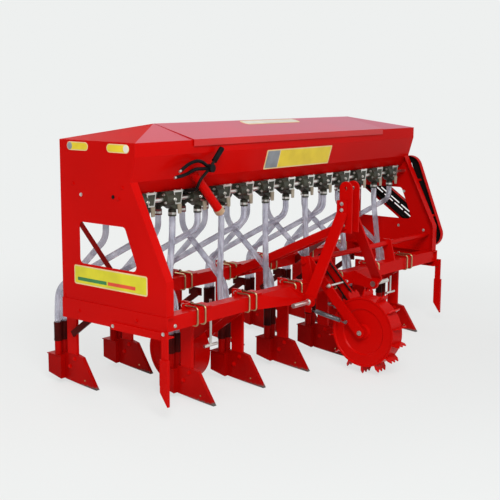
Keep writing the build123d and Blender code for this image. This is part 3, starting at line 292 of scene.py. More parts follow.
def add_painted_sheen(made, shade_sideways):
    """A pale tinted sheen at a low angle, as painted reflection. With shaded sides, slopes that
    face along X lose it and their mirror, as painted shade."""
    tree = made.node_tree
    shader = principled(tree)
    shader.inputs["Sheen Roughness"].default_value = PAINTED_SHEEN_SPREAD
    shader.inputs["Sheen Tint"].default_value = PAINTED_SHEEN_TINT
    shader.inputs["Sheen Weight"].default_value = PAINTED_SHEEN
    if not shade_sideways:
        return
    place = add(tree, "ShaderNodeTexCoord")
    facing = add(tree, "ShaderNodeSeparateXYZ")
    tree.links.new(place.outputs["Normal"], facing.inputs[0])
    sideways = add(tree, "ShaderNodeMath", operation="ABSOLUTE")
    tree.links.new(facing.outputs["X"], sideways.inputs[0])
    for entry, bright, shaded_level in (("Specular IOR Level", LID_SPECULAR, SHADED_SIDE_SPECULAR),
                                ("Sheen Weight", PAINTED_SHEEN, 0.0)):
        level = add(tree, "ShaderNodeMapRange")
        for part, value in (("From Min", SIDEWAYS_FROM), ("From Max", SIDEWAYS_FULL),
                            ("To Min", bright), ("To Max", shaded_level)):
            level.inputs[part].default_value = value
        tree.links.new(sideways.outputs[0], level.inputs["Value"])
        tree.links.new(level.outputs["Result"], shader.inputs[entry])


enamel = baked_enamel("red_enamel")
lid_enamel = baked_enamel("lid_enamel", rough=0.36, specular=LID_SPECULAR, peel=0.10)
roof_enamel = baked_enamel("roof_enamel", rough=0.40, specular=LID_SPECULAR, peel=0.10)
# Painted reflection on the lid and the roof, and painted shade on the roof's sideways slopes.
add_painted_sheen(lid_enamel, False)
add_painted_sheen(roof_enamel, True)
print("enamel ready")

# %% [markdown]
# The shovels cut the soil, so the first run rubs the enamel off their points and lower edges. The
# height above the ground, with a noise added, decides between enamel and bare steel, so the worn
# line is ragged. Their red is darker than the frame's, as painted shade low under the machine. The
# boots behind the shovels share this darker red, and stay painted because they end above the line.

# %% Shovel enamel with painted shade and worn points
WORN_HEIGHT = 0.006
WORN_FADE = 0.010
WORN_RAGGED = 0.03
STEEL_GREY = (0.11, 0.10, 0.09, 1.0)
# A darker red than the frame's: painted shade low under the machine.
SHOVEL_SHADED_RED = (0.44, 0.0025, 0.0015)
SHOVEL_SHADED_DEEP = (0.30, 0.0015, 0.0010)


def worn_and_shaded_enamel(name):
    """The enamel, darker as painted shade, with bare steel below a ragged line near the ground."""
    made = finish(name, SHOVEL_SHADED_DEEP, SHOVEL_SHADED_RED, 3.0, PEEL_SCALE, 0.28, specular=ENAMEL_SPECULAR,
                  bump_size=PEEL_SIZE, bump_strength=0.15, rough_spread=0.03)
    tree = made.node_tree
    shader = principled(tree)
    painted = shader.inputs["Base Color"].links[0].from_socket
    place = add(tree, "ShaderNodeTexCoord")
    axes = add(tree, "ShaderNodeSeparateXYZ")
    tree.links.new(place.outputs["Object"], axes.inputs[0])
    ragged = noise(tree, 60.0, detail=4.0)
    height = add(tree, "ShaderNodeMath", operation="MULTIPLY_ADD")
    tree.links.new(ragged.outputs["Fac"], height.inputs[0])
    height.inputs[1].default_value = -WORN_RAGGED
    tree.links.new(axes.outputs["Z"], height.inputs[2])
    line = add(tree, "ShaderNodeMapRange")
    line.inputs["From Min"].default_value = WORN_HEIGHT - WORN_RAGGED / 2
    line.inputs["From Max"].default_value = WORN_HEIGHT + WORN_FADE - WORN_RAGGED / 2
    tree.links.new(height.outputs[0], line.inputs["Value"])
    mixed = blended(tree, line.outputs["Result"], STEEL_GREY, painted)
    tree.links.new(mixed, shader.inputs["Base Color"])
    return made


shovel_enamel = worn_and_shaded_enamel("shovel_enamel")
print("worn points ready")

# %% [markdown]
# The rest of the finishes differ in few things: two tones, how metallic they are and how coarse
# their grain is. One function with those as arguments keeps them alike and easy to tune: after the
# two tones come the scale of the clouds, the scale of the grain and the roughness. The wire of the
# U-bolts is plated with yellow zinc, warmer than the white zinc of shafts and pins.

# %% Metals, rubber and plastic
zinc = finish("white_zinc", (0.50, 0.49, 0.46), (0.70, 0.69, 0.66), 9.0, 260.0, 0.32, metal=1.0)
yellow_zinc = finish("yellow_zinc", (0.36, 0.25, 0.12), (0.56, 0.42, 0.23), 12.0, 300.0, 0.34,
                     metal=1.0)
spring_steel = finish("spring_steel", (0.10, 0.10, 0.11), (0.24, 0.24, 0.26), 12.0, 300.0, 0.3,
                      metal=1.0)
cast_iron = finish("cast_cup", (0.014, 0.015, 0.010), (0.050, 0.052, 0.036), 14.0, 420.0, 0.45,
                   metal=0.2, specular=0.3, bump_size=0.0012, bump_strength=0.5)
black_rubber = finish("black_rubber", (0.0025, 0.0025, 0.003), (0.007, 0.007, 0.008), 20.0, 500.0,
                      0.42, specular=0.07, bump_size=0.0005)
black_paint = finish("black_paint", (0.004, 0.0035, 0.0035), (0.012, 0.010, 0.009), 7.0, 180.0, 0.4,
                     specular=0.09)
tan_plastic = finish("tan_plastic", (0.42, 0.26, 0.14), (0.60, 0.42, 0.26), 12.0, 300.0, 0.45)
oiled_shutter = finish("oiled_shutter", (0.24, 0.20, 0.14), (0.38, 0.33, 0.25), 16.0, 300.0, 0.45)
# The seed cuffs are red; their darker red is painted shade behind the black cups.
shaded_cuff_red = finish("shaded_cuff_red", (0.11, 0.007, 0.005), (0.24, 0.012, 0.008), 14.0, 300.0, 0.4)
maroon_rubber = finish("maroon_rubber", (0.022, 0.0025, 0.0025), (0.085, 0.005, 0.004), 9.0, 300.0,
                       0.45, specular=0.05)
# The braces are red like the frame; their darker red is painted shade.
shaded_brace_red = finish("shaded_brace_red", (0.13, 0.002, 0.0015), (0.24, 0.003, 0.002), 3.0, 160.0, 0.4,
                  specular=0.03)
stay_maroon = finish("stay_maroon", (0.035, 0.002, 0.0015), (0.085, 0.003, 0.002), 3.0, 160.0, 0.4,
                     specular=0.05)
print("plain finishes ready")

# %% [markdown]
# Two finishes need more than tones and grain. A clear hose lets part of the light through, and the
# rest meets a grey violet body. Its bend of light is kept low, because the hoses are modelled as
# full rods and a strong bend would draw bright streaks. The chain guard is red outside. Its inner
# face lies in shade between the cover and the panel and is black, as painted shade: the direction
# of a face and its place along the machine pick the inner face of the cover.

# %% Hoses and the chain guard
HOSE_LOW = (0.44, 0.44, 0.52)
HOSE_HIGH = (0.68, 0.68, 0.76)
HOSE_CLEAR = 0.66
HOSE_IOR = 1.1
HOSE_COAT = 0.3
GUARD_INNER_X = 1.200
GUARD_FACES_PANEL = -0.5
# Black for the cover's inner face: painted shade between the cover and the panel.
GUARD_PAINTED_SHADE = (0.010, 0.009, 0.009, 1.0)


def clear_hose_material():
    """Clear PVC: part of the light goes through, part is a soft grey violet body."""
    made, tree, output = new_material("clear_hose")
    shader = add(tree, "ShaderNodeBsdfPrincipled", Roughness=0.2)
    shader.inputs["Transmission Weight"].default_value = HOSE_CLEAR
    shader.inputs["IOR"].default_value = HOSE_IOR
    shader.inputs["Coat Weight"].default_value = HOSE_COAT
    clouds = noise(tree, 18.0)
    tone = two_tone(tree, clouds.outputs["Fac"], HOSE_LOW, HOSE_HIGH)
    tree.links.new(tone, shader.inputs["Base Color"])
    tree.links.new(shader.outputs[0], output.inputs[0])
    return made


def guard_finish():
    """Red enamel outside; the inner face of the cover, which looks back at the panel, is black as
    painted shade.
    """
    made = baked_enamel("guard_enamel")
    tree = made.node_tree
    shader = principled(tree)
    painted = shader.inputs["Base Color"].links[0].from_socket
    place = add(tree, "ShaderNodeTexCoord")
    facing = add(tree, "ShaderNodeSeparateXYZ")
    spot = add(tree, "ShaderNodeSeparateXYZ")
    tree.links.new(place.outputs["Normal"], facing.inputs[0])
    tree.links.new(place.outputs["Object"], spot.inputs[0])
    inward = add(tree, "ShaderNodeMath", operation="LESS_THAN")
    inward.inputs[1].default_value = GUARD_FACES_PANEL
    tree.links.new(facing.outputs["X"], inward.inputs[0])
    deep = add(tree, "ShaderNodeMath", operation="GREATER_THAN")
    deep.inputs[1].default_value = GUARD_INNER_X
    tree.links.new(spot.outputs["X"], deep.inputs[0])
    both = add(tree, "ShaderNodeMath", operation="MULTIPLY")
    tree.links.new(inward.outputs[0], both.inputs[0])
    tree.links.new(deep.outputs[0], both.inputs[1])
    mixed = blended(tree, both.outputs[0], painted, GUARD_PAINTED_SHADE)
    tree.links.new(mixed, shader.inputs["Base Color"])
    return made


clear_hose = clear_hose_material()
guard_enamel = guard_finish()
print("hoses and guard ready")

# %% [markdown]
# Each node of the frame names its material slot in the record, and the slot picks the finish. A
# few nodes differ from their slot, such as the shovels, the lid and the braces, whose darker red is
# painted shade, so a second table by node name comes first.

# %% A finish for every node
FINISHES = {"red_paint": enamel, "cast_cup": cast_iron, "black_rubber": black_rubber,
            "clear_hose": clear_hose, "zinc_steel": zinc, "black_steel": black_paint,
            "tan_plastic": tan_plastic}
OWN_FINISH = {"front_shovels": shovel_enamel, "rear_shovels": shovel_enamel,
              "front_boots": shovel_enamel, "rear_boots": shovel_enamel, "shutters": oiled_shutter,
              "seed_cuffs": shaded_cuff_red, "fertiliser_cuffs": cast_iron, "panel_brace": shaded_brace_red,
              "splayed_brace": shaded_brace_red, "rear_stays": stay_maroon, "rate_lever": black_paint,
              "lid": lid_enamel, "roof_ends": roof_enamel, "chain_guard": guard_enamel}
NODE_SLOTS = {part["node"]: part["material_slot"] for part in frame["record"]["subparts"]}
for name, node in frame["nodes"].items():
    node.data.materials.clear()
    node.data.materials.append(OWN_FINISH.get(name, FINISHES[NODE_SLOTS[name]]))
print("finishes on", len(NODE_SLOTS), "nodes")

# %% [markdown]
# Bolts, bands and coils repeat in dozens. One Geometry Nodes tree puts a copy of a small shape on
# every point of a mesh, turned by a rotation that each point carries. The tree has a named input
# for every size, so a later fit needs only a new number. The result is baked to a plain mesh.

# %% Trees that repeat a shape
UP = Vector((0, 0, 1))
SIDES = {"left": Vector((-1, 0, 0)), "right": Vector((1, 0, 0)), "front": Vector((0, -1, 0)),
         "rear": Vector((0, 1, 0))}
SMOOTH_BELOW = math.radians(42)


def mm(*values):
    """A point in metres from millimetres."""
    return Vector([value / 1000 for value in values])


def new_tree(name, sizes):
    """A geometry tree with a named number for each size and a finish, its entry and its exit."""
    tree = bpy.data.node_groups.new(name, "GeometryNodeTree")
    tree.interface.new_socket("Geometry", in_out="INPUT", socket_type="NodeSocketGeometry")
    for size_name, value in sizes.items():
        socket = tree.interface.new_socket(size_name, in_out="INPUT", socket_type="NodeSocketFloat")
        socket.default_value = value
    tree.interface.new_socket("Finish", in_out="INPUT", socket_type="NodeSocketMaterial")
    tree.interface.new_socket("Geometry", in_out="OUTPUT", socket_type="NodeSocketGeometry")
    return tree, add(tree, "NodeGroupInput"), add(tree, "NodeGroupOutput")


def close_tree(tree, geometry, entry, leave):
    """Makes the copies real, sets their finish and leads them out."""
    real = add(tree, "GeometryNodeRealizeInstances")
    dressed = add(tree, "GeometryNodeSetMaterial")
    tree.links.new(geometry, real.inputs[0])
    tree.links.new(real.outputs[0], dressed.inputs["Geometry"])
    tree.links.new(entry.outputs["Finish"], dressed.inputs["Material"])
    tree.links.new(dressed.outputs[0], leave.inputs[0])


def bake(name, source, tree, sizes, material, body):
    """Runs a tree on a source mesh and keeps the result as a plain mesh that rides on a body."""
    piece = bpy.data.objects.new(name, source)
    scene.collection.objects.link(piece)
    modifier = piece.modifiers.new("tree", "NODES")
    modifier.node_group = tree
    sockets = {item.name: item.identifier for item in tree.interface.items_tree
               if item.in_out == "INPUT"}
    for size_name, value in sizes.items():
        modifier[sockets[size_name]] = value
    modifier[sockets["Finish"]] = material
    evaluated = piece.evaluated_get(bpy.context.evaluated_depsgraph_get())
    made = bpy.data.meshes.new_from_object(evaluated)
    # Copies of a plain shape bring an empty first slot, which nothing wears.
    if made.materials[0] is None:
        made.materials.pop(index=0)
    piece.modifiers.clear()
    piece.data = made
    made.shade_smooth()
    made.set_sharp_from_angle(angle=SMOOTH_BELOW)
    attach(piece, body)
    print(name, len(made.polygons), "faces")
    return piece


def repeat(name, places, sizes, shape, material, body="frame"):
    """Copies a shape to every place: a point and the direction that the shape's Z takes."""
    points = bpy.data.meshes.new(name)
    points.from_pydata([tuple(point) for point, _ in places], [], [])
    turns = points.attributes.new("turn", "QUATERNION", "POINT")
    for entry_value, (_, direction) in zip(turns.data, places):
        entry_value.value = UP.rotation_difference(direction)
    tree, entry, leave = new_tree(name, sizes)
    copies = add(tree, "GeometryNodeInstanceOnPoints")
    spin = add(tree, "GeometryNodeInputNamedAttribute", data_type="QUATERNION", Name="turn")
    tree.links.new(entry.outputs["Geometry"], copies.inputs["Points"])
    tree.links.new(shape(tree, entry), copies.inputs["Instance"])
    tree.links.new(next(s for s in spin.outputs if s.enabled), copies.inputs["Rotation"])
    close_tree(tree, copies.outputs[0], entry, leave)
    return bake(name, points, tree, sizes, material, body)


print("repeating trees ready")


# %% [markdown]
# A bolt, a band and a sleeve are all stacks of short closed cones and drums. One function makes
# such a stub from named sizes, and each shape is a few stubs joined, so every size of a shape
# follows from the two or three that its tree is given.

# %% Shapes of bolts, bands and sleeves
# Shares of a bolt's head and height, of a band's width, and of a sleeve's lip and length.
CROWN_FOOT = 0.86
CROWN_TOP = 0.60
CROWN_RISE = 1.18
WASHER_RISE = 0.25
SCREW_FOOT = 0.62
SCREW_TOP = 0.50
SLEEVE_WAIST = 0.955
LIP_RISE = 0.11
TOP_LIP_START = 0.888
ROUND = 32


def stub(tree, sides, low, high, depth):
    """A closed cone or drum that stands on its base; its sizes are sockets."""
    made = add(tree, "GeometryNodeMeshCone", Vertices=sides)
    for part, size in (("Radius Bottom", low), ("Radius Top", high), ("Depth", depth)):
        tree.links.new(size, made.inputs[part])
    return made.outputs["Mesh"]


def scaled(tree, socket, factor):
    """A size times a number."""
    made = add(tree, "ShaderNodeMath", operation="MULTIPLY")
    tree.links.new(socket, made.inputs[0])
    made.inputs[1].default_value = factor
    return made.outputs[0]


def joined(tree, shapes):
    """Several shapes as one."""
    made = add(tree, "GeometryNodeJoinGeometry")
    for shape in shapes:
        tree.links.new(shape, made.inputs[0])
    return made.outputs[0]


def moved(tree, geometry, x=None, z=None):
    """A shape moved along X, along Z or both."""
    made = add(tree, "GeometryNodeTransform")
    place = add(tree, "ShaderNodeCombineXYZ")
    for axis, distance in (("X", x), ("Z", z)):
        if distance is not None:
            tree.links.new(distance, place.inputs[axis])
    tree.links.new(geometry, made.inputs["Geometry"])
    tree.links.new(place.outputs[0], made.inputs["Translation"])
    return made.outputs[0]


def hex_bolt(tree, entry):
    """A washer, a hexagonal head and its turned crown."""
    head, height, washer = (entry.outputs[size] for size in ("Head", "Height", "Washer"))
    crown = stub(tree, 20, scaled(tree, head, CROWN_FOOT), scaled(tree, head, CROWN_TOP),
                 scaled(tree, height, CROWN_RISE))
    return joined(tree, [stub(tree, 24, washer, washer, scaled(tree, height, WASHER_RISE)),
                         stub(tree, 6, head, head, height), crown])


def band(tree, entry):
    """A clamp band round a hose, with its screw housing at one side."""
    ring, width = entry.outputs["Ring"], entry.outputs["Width"]
    screw = stub(tree, 8, scaled(tree, width, SCREW_FOOT), scaled(tree, width, SCREW_TOP), width)
    return joined(tree, [stub(tree, ROUND, ring, ring, width), moved(tree, screw, x=ring)])


def sleeve(tree, entry):
    """A rubber sleeve with a lip at both ends."""
    outer, length = entry.outputs["Lip"], entry.outputs["Length"]
    waist = scaled(tree, outer, SLEEVE_WAIST)
    lip = scaled(tree, length, LIP_RISE)
    top_lip = moved(tree, stub(tree, ROUND, outer, waist, lip),
                    z=scaled(tree, length, TOP_LIP_START))
    return joined(tree, [stub(tree, ROUND, waist, waist, length),
                         stub(tree, ROUND, outer, outer, lip), top_lip])


print("shapes ready")

# %% [markdown]
# U-bolts, hooks, pins and handles are round wire along a path. A second tree turns the edges of a
# mesh into curves, rounds their corners by one radius and sweeps a circle along them. Only the
# corner points are listed, so a path reads like the maker's own bending list.

# %% A tree that follows a path
BEND_STEPS = 5


def follow(name, paths, sizes, material, sides=10, body="frame"):
    """Round wire along each path of corner points, its corners bent to one radius."""
    source = bpy.data.meshes.new(name)
    points = [tuple(point) for path in paths for point in path]
    edges = []
    start = 0
    for path in paths:
        edges += [(start + k, start + k + 1) for k in range(len(path) - 1)]
        start += len(path)
    source.from_pydata(points, edges, [])
    tree, entry, leave = new_tree(name, sizes)
    curve = add(tree, "GeometryNodeMeshToCurve")
    bent = add(tree, "GeometryNodeFilletCurve", mode="POLY", Count=BEND_STEPS)
    bent.inputs["Limit Radius"].default_value = True
    circle = add(tree, "GeometryNodeCurvePrimitiveCircle", Resolution=sides)
    swept = add(tree, "GeometryNodeCurveToMesh")
    swept.inputs["Fill Caps"].default_value = True
    tree.links.new(entry.outputs["Geometry"], curve.inputs[0])
    tree.links.new(curve.outputs[0], bent.inputs["Curve"])
    tree.links.new(entry.outputs["Bend"], bent.inputs["Radius"])
    tree.links.new(bent.outputs[0], swept.inputs["Curve"])
    tree.links.new(entry.outputs["Wire"], circle.inputs["Radius"])
    tree.links.new(circle.outputs[0], swept.inputs["Profile Curve"])
    close_tree(tree, swept.outputs[0], entry, leave)
    return bake(name, source, tree, sizes, material, body)


print("path tree ready")

# %% [markdown]
# Each tine hangs on its bar by two U-bolts of bright wire, which pass over the bar's top, down its
# front and back under it to nuts behind. The wire shows pale against the red. The rows are spaced
# evenly, so their places come from one short loop, which puts every other row on the rear bar.

# %% U-bolts round both bars
ROW_PITCH = 0.180
ROWS = 13
BAR_SIZE = 0.065
BAR_LOW = 0.382
BAR_Y = {"front": -0.180, "rear": 0.394}
WIRE = 0.0043
U_BOLT_OFFSETS = (-0.078, -0.027)
U_BOLT_FRONT_GAP = 0.006
U_BOLT_TOP_GAP = 0.008
LEG_PAST_BAR = 0.022
NUT_BEFORE_END = 0.012


def row_places():
    """X of each row and the bar that carries it."""
    return [((i - (ROWS - 1) / 2) * ROW_PITCH, "rear" if i % 2 == 0 else "front")
            for i in range(ROWS)]


u_paths = []
u_nuts = []
for x, bar in row_places():
    front_y = BAR_Y[bar] - U_BOLT_FRONT_GAP - WIRE
    back_y = BAR_Y[bar] + BAR_SIZE + LEG_PAST_BAR
    high = BAR_LOW + BAR_SIZE + U_BOLT_TOP_GAP + WIRE
    low = BAR_LOW - WIRE
    for offset in U_BOLT_OFFSETS:
        corners = ((back_y, high), (front_y, high), (front_y, low), (back_y, low))
        u_paths.append([Vector((x + offset, y, z)) for y, z in corners])
        u_nuts += [(Vector((x + offset, back_y - NUT_BEFORE_END, z)), SIDES["rear"])
                   for z in (high, low)]
follow("u_bolts", u_paths, {"Bend": 0.014, "Wire": WIRE}, yellow_zinc)
repeat("u_bolt_nuts", u_nuts, {"Head": 0.0092, "Height": 0.007, "Washer": 0.0105}, hex_bolt, zinc)

# %% [markdown]
# A keeper strip behind the bar takes the nuts of the outer U-bolt. It is flat bar with a bevelled
# edge, so a few lines of mesh code with a small bevel do, and the bevel catches the light as a sawn
# and painted edge does.

# %% Keeper strips
KEEPER = {"left": 0.091, "right": 0.0425, "thick": 0.010, "below": 0.012, "above": 0.020}


def flat_pieces(name, boxes, material, bevel=0.0012, body="frame"):
    """Flat bars from pairs of low and high corners, with bevelled edges."""
    shape = bmesh.new()
    for low, high in boxes:
        made = bmesh.ops.create_cube(shape, size=1.0)["verts"]
        middle = (Vector(low) + Vector(high)) / 2
        span = Vector(high) - Vector(low)
        for corner in made:
            corner.co = Vector([middle[k] + corner.co[k] * span[k] for k in range(3)])
    bmesh.ops.bevel(shape, geom=shape.edges[:], offset=bevel, segments=2, affect="EDGES")
    bmesh.ops.recalc_face_normals(shape, faces=shape.faces[:])
    mesh = bpy.data.meshes.new(name)
    shape.to_mesh(mesh)
    shape.free()
    mesh.materials.append(material)
    piece = bpy.data.objects.new(name, mesh)
    scene.collection.objects.link(piece)
    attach(piece, body)
    print(name, len(boxes), "strips")


keepers = []
for x, bar in row_places():
    back_y = BAR_Y[bar] + BAR_SIZE
    keepers.append(((x - KEEPER["left"], back_y, BAR_LOW - KEEPER["below"]),
                    (x - KEEPER["right"], back_y + KEEPER["thick"],
                     BAR_LOW + BAR_SIZE + KEEPER["above"])))
flat_pieces("keeper_strips", keepers, enamel)

# %% [markdown]
# A hose stays on its spout by a cuff and a bright worm-drive band, and on its boot pipe by a
# dark red rubber sleeve. They repeat 26 times each, so they use the repeating tree. A band is
# drawn as a thin drum that just stands out of the cuff, because its inside never shows.

# %% Hose bands and boot sleeves
UNIT_PITCH = 0.172
UNIT_HALF_SPAN = (ROWS - 1) / 2 * UNIT_PITCH
UNITS_X = [i * UNIT_PITCH - UNIT_HALF_SPAN for i in range(ROWS)]
SPOUTS = {"fertiliser": (0.072, 0.846), "seed": (0.330, 0.812)}
BAND_BELOW = 0.006
PIPE_SPREAD = 0.020
PIPE_BACK = 0.118
SHANK_START = BAR_SIZE + 0.028
SLEEVE_LOW = 0.205
SLEEVE_LENGTH = 0.091

cuff_bands = []
sleeves = []
for (x, bar), unit_x in zip(row_places(), UNITS_X):
    for y, spout_z in SPOUTS.values():
        cuff_bands.append((Vector((unit_x, y, spout_z - BAND_BELOW)), UP))
    pipe_y = BAR_Y[bar] + SHANK_START + PIPE_BACK
    for side in (-1, 1):
        sleeves.append((Vector((x + side * PIPE_SPREAD, pipe_y, SLEEVE_LOW)), UP))
repeat("cuff_bands", cuff_bands, {"Ring": 0.0196, "Width": 0.010}, band, zinc)
repeat("boot_sleeves", sleeves, {"Lip": 0.0195, "Length": SLEEVE_LENGTH}, sleeve, maroon_rubber)

# %% [markdown]
# The feed units carry the brightest small parts: three nuts round the shaft on the housing's left
# face, one nut on its front, and two small screws on the top rim of the thin frame. At this size a
# nut with a washer reads well, and all of them are copies of one bolt with other sizes.

# %% Feed unit fasteners
HOUSING = {"x": -0.080, "y": 0.050, "z": 0.915, "reach": 0.0215}
HOUSING_NUT_ANGLES = (100, 220, 340)
HUB_NUT = {"x": -0.036, "y": 0.0212, "z": 0.915}
FRAME_SCREW = {"apart": 0.020, "y": 0.033, "z": 0.954}
housing_nuts = []
frame_screws = []
hub_nuts = []
for unit_x in UNITS_X:
    for angle in HOUSING_NUT_ANGLES:
        swing = math.radians(angle)
        nut_y = HOUSING["y"] + HOUSING["reach"] * math.cos(swing)
        nut_z = HOUSING["z"] + HOUSING["reach"] * math.sin(swing)
        housing_nuts.append((Vector((unit_x + HOUSING["x"], nut_y, nut_z)), SIDES["left"]))
    for side in (-1, 1):
        place = Vector((unit_x + side * FRAME_SCREW["apart"], FRAME_SCREW["y"], FRAME_SCREW["z"]))
        frame_screws.append((place, SIDES["front"]))
    hub_nuts.append((Vector((unit_x + HUB_NUT["x"], HUB_NUT["y"], HUB_NUT["z"])), SIDES["front"]))
repeat("housing_nuts", housing_nuts, {"Head": 0.0056, "Height": 0.008, "Washer": 0.0070},
       hex_bolt, zinc)
repeat("hub_nuts", hub_nuts, {"Head": 0.0060, "Height": 0.008, "Washer": 0.0075}, hex_bolt, zinc)
repeat("frame_screws", frame_screws, {"Head": 0.0024, "Height": 0.002, "Washer": 0.0029},
       hex_bolt, zinc)

# %% [markdown]
# Painted bolts hold the left panel and the shanks, and plated bolts sit inside the right panel and
# at the left marker. A short table gives the places on each face, read from the photo, and the side
# that the heads face. A shank has the same four bolts on both sides of every row.

# %% Bolts of the panels and shanks
LEFT_X = -1168
LEFT_FOOT_X = -1173
RIGHT_INNER_X = 1165
PANEL_BOLTS = ((LEFT_X, 394, 983), (LEFT_X, 99, 933), (LEFT_X, 76, 985),
               (LEFT_FOOT_X, 365, 400), (LEFT_FOOT_X, -8, 410))
INNER_BOLTS = ((RIGHT_INNER_X, 105, 872), (RIGHT_INNER_X, 46, 790), (RIGHT_INNER_X, 77, 577),
               (RIGHT_INNER_X, -98, 563), (LEFT_X, 341, 935), (-1183, 132, 365), (-1193, -187, 381))
# Half the thickness that the bolt holds, how far behind the shank's front it sits, and its height.
SHANK_BOLTS = ((0.016, 0.018, 0.398), (0.016, 0.040, 0.430),
               (0.010, 0.014, 0.128), (0.010, 0.048, 0.086))


def both_sides(x, reach, y, z):
    """A place to the left and one to the right of X, each facing outwards."""
    return [(Vector((x - reach, y, z)), SIDES["left"]), (Vector((x + reach, y, z)), SIDES["right"])]


repeat("panel_bolts", [(mm(*place), SIDES["left"]) for place in PANEL_BOLTS],
       {"Head": 0.0075, "Height": 0.0045, "Washer": 0.0095}, hex_bolt, enamel)
repeat("panel_plug", [(mm(LEFT_X, 133, 939), SIDES["left"])],
       {"Head": 0.007, "Height": 0.004, "Washer": 0.009}, hex_bolt, black_paint)
inner_bolts = [(mm(*place), SIDES["left"]) for place in INNER_BOLTS]
inner_bolts.append((mm(-1112, -180, 402), SIDES["front"]))
repeat("inner_bolts", inner_bolts, {"Head": 0.0065, "Height": 0.005, "Washer": 0.0085},
       hex_bolt, zinc)
shank_bolts = []
for x, bar in row_places():
    for reach, back, z in SHANK_BOLTS:
        shank_bolts += both_sides(x, reach, BAR_Y[bar] + SHANK_START + back, z)
repeat("shank_bolts", shank_bolts, {"Head": 0.0095, "Height": 0.006, "Washer": 0.0115}, hex_bolt,
       enamel)

# %% [markdown]
# Nuts close the axles of all three wheels and the bolts of the mast, outwards on both sides. The
# points of the shovels are held by small flat rivets of yellow zinc, and the right marker's leg
# shows three of the same in a column.

# %% Nuts of the axles and the mast, and rivets
WHEEL_AXLE = {"y": -0.447, "z": 0.214, "reach": 0.071}
DEPTH_AXLE = {"y": 0.180, "z": 0.150, "reach": 0.070}
DEPTH_WHEELS_X = (-0.700, 0.700)
MAST_BOLTS = ((0.048, -0.312, 0.846), (0.048, -0.312, 0.815), (0.046, -0.322, 0.739))
RIVET = {"reach": 0.010, "ahead": 0.057, "z": 0.034}
MARKER_RIVETS_Z = (385, 365, 345)

axle_nuts = both_sides(0.0, WHEEL_AXLE["reach"], WHEEL_AXLE["y"], WHEEL_AXLE["z"])
for x in DEPTH_WHEELS_X:
    axle_nuts += both_sides(x, DEPTH_AXLE["reach"], DEPTH_AXLE["y"], DEPTH_AXLE["z"])
repeat("axle_nuts", axle_nuts, {"Head": 0.0095, "Height": 0.010, "Washer": 0.0125}, hex_bolt, zinc)
mast_bolts = []
for reach, y, z in MAST_BOLTS:
    mast_bolts += both_sides(0.0, reach, y, z)
repeat("mast_bolts", mast_bolts, {"Head": 0.0080, "Height": 0.007, "Washer": 0.0100},
       hex_bolt, zinc)
rivets = []
for x, bar in row_places():
    rivets += both_sides(x, RIVET["reach"], BAR_Y[bar] + SHANK_START - RIVET["ahead"], RIVET["z"])
rivets += [(mm(1183, -192, z), SIDES["left"]) for z in MARKER_RIVETS_Z]
repeat("plough_rivets", rivets, {"Head": 0.0034, "Height": 0.0014, "Washer": 0.0038}, hex_bolt,
       yellow_zinc)

# %% [markdown]
# Two close-wound tension springs pull the drive wheel down. A coil follows a rule, so the tree
# makes it with a spiral, and the path tree adds the hooks and their pins. The CAD has only the
# spring's outer form, which this piece replaces.

# %% Springs of the drive wheel
SPRING_X = 0.085
SPRING_HIGH = Vector((0, -0.158, 0.296))
SPRING_LOW = Vector((0, -0.372, 0.262))
# The pins that hold a spring: the spring's end, and where the pin starts and ends from the middle.
SPRING_PINS = ((SPRING_LOW, 0.071, 0.092), (SPRING_HIGH, 0.079, 0.099))
COIL_WIRE = 0.0021
COIL_RADIUS = 0.0098
COIL_TURNS = 33.0
COIL_SHARE = (0.16, 0.84)
HOOK_LOOP = 0.0080
# A hook's corners: what each is measured from, how far across the spring and how far outwards.
HOOK_CORNERS = (("coil", COIL_RADIUS, -0.003), ("coil", COIL_RADIUS, 0.003), ("coil", 0.0, 0.006),
                ("pin", HOOK_LOOP, -0.006), ("pin", HOOK_LOOP, HOOK_LOOP),
                ("pin", -HOOK_LOOP, HOOK_LOOP), ("pin", -HOOK_LOOP, -0.004))


def coil(tree, entry):
    """A close-wound coil along Z."""
    spiral = add(tree, "GeometryNodeCurveSpiral", Resolution=18)
    ring = add(tree, "GeometryNodeCurvePrimitiveCircle", Resolution=7)
    swept = add(tree, "GeometryNodeCurveToMesh")
    swept.inputs["Fill Caps"].default_value = True
    for part, size in (("Rotations", "Turns"), ("Start Radius", "Coil"), ("End Radius", "Coil"),
                       ("Height", "Length")):
        tree.links.new(entry.outputs[size], spiral.inputs[part])
    tree.links.new(entry.outputs["Wire"], ring.inputs["Radius"])
    tree.links.new(spiral.outputs[0], swept.inputs["Curve"])
    tree.links.new(ring.outputs[0], swept.inputs["Profile Curve"])
    return swept.outputs[0]


spring_run = SPRING_HIGH - SPRING_LOW
along = spring_run.normalized()
across = along.cross(SIDES["right"])
coil_places = []
hooks = []
pins = []
for side in (-1, 1):
    offset = Vector((side * SPRING_X, 0, 0))
    begin, end = (SPRING_LOW + spring_run * share + offset for share in COIL_SHARE)
    coil_places.append((begin, along))
    for pin, coil_end, outwards in ((SPRING_LOW + offset, begin, -1),
                                    (SPRING_HIGH + offset, end, 1)):
        origins = {"coil": coil_end, "pin": pin}
        hooks.append([origins[origin] + across * aside + along * outwards * reach
                      for origin, aside, reach in HOOK_CORNERS])
    for place, inner, outer in SPRING_PINS:
        pins.append([Vector((side * x, place.y, place.z)) for x in (inner, outer)])
coils = repeat("spring_coils", coil_places,
               {"Coil": COIL_RADIUS, "Wire": COIL_WIRE, "Turns": COIL_TURNS,
                "Length": spring_run.length * (COIL_SHARE[1] - COIL_SHARE[0])}, coil, spring_steel)
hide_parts("wheel_springs")
follow("spring_hooks", hooks, {"Bend": 0.006, "Wire": COIL_WIRE}, spring_steel, sides=8)
follow("spring_pins", pins, {"Bend": 0.001, "Wire": 0.006}, zinc, sides=16)

# %% [markdown]
# A bright tie bolt runs across both swing arms, with a nut at each end, and the black sleeved rods
# of the rate lever end in plated ferrules. All are short round bars, made with the path tree.

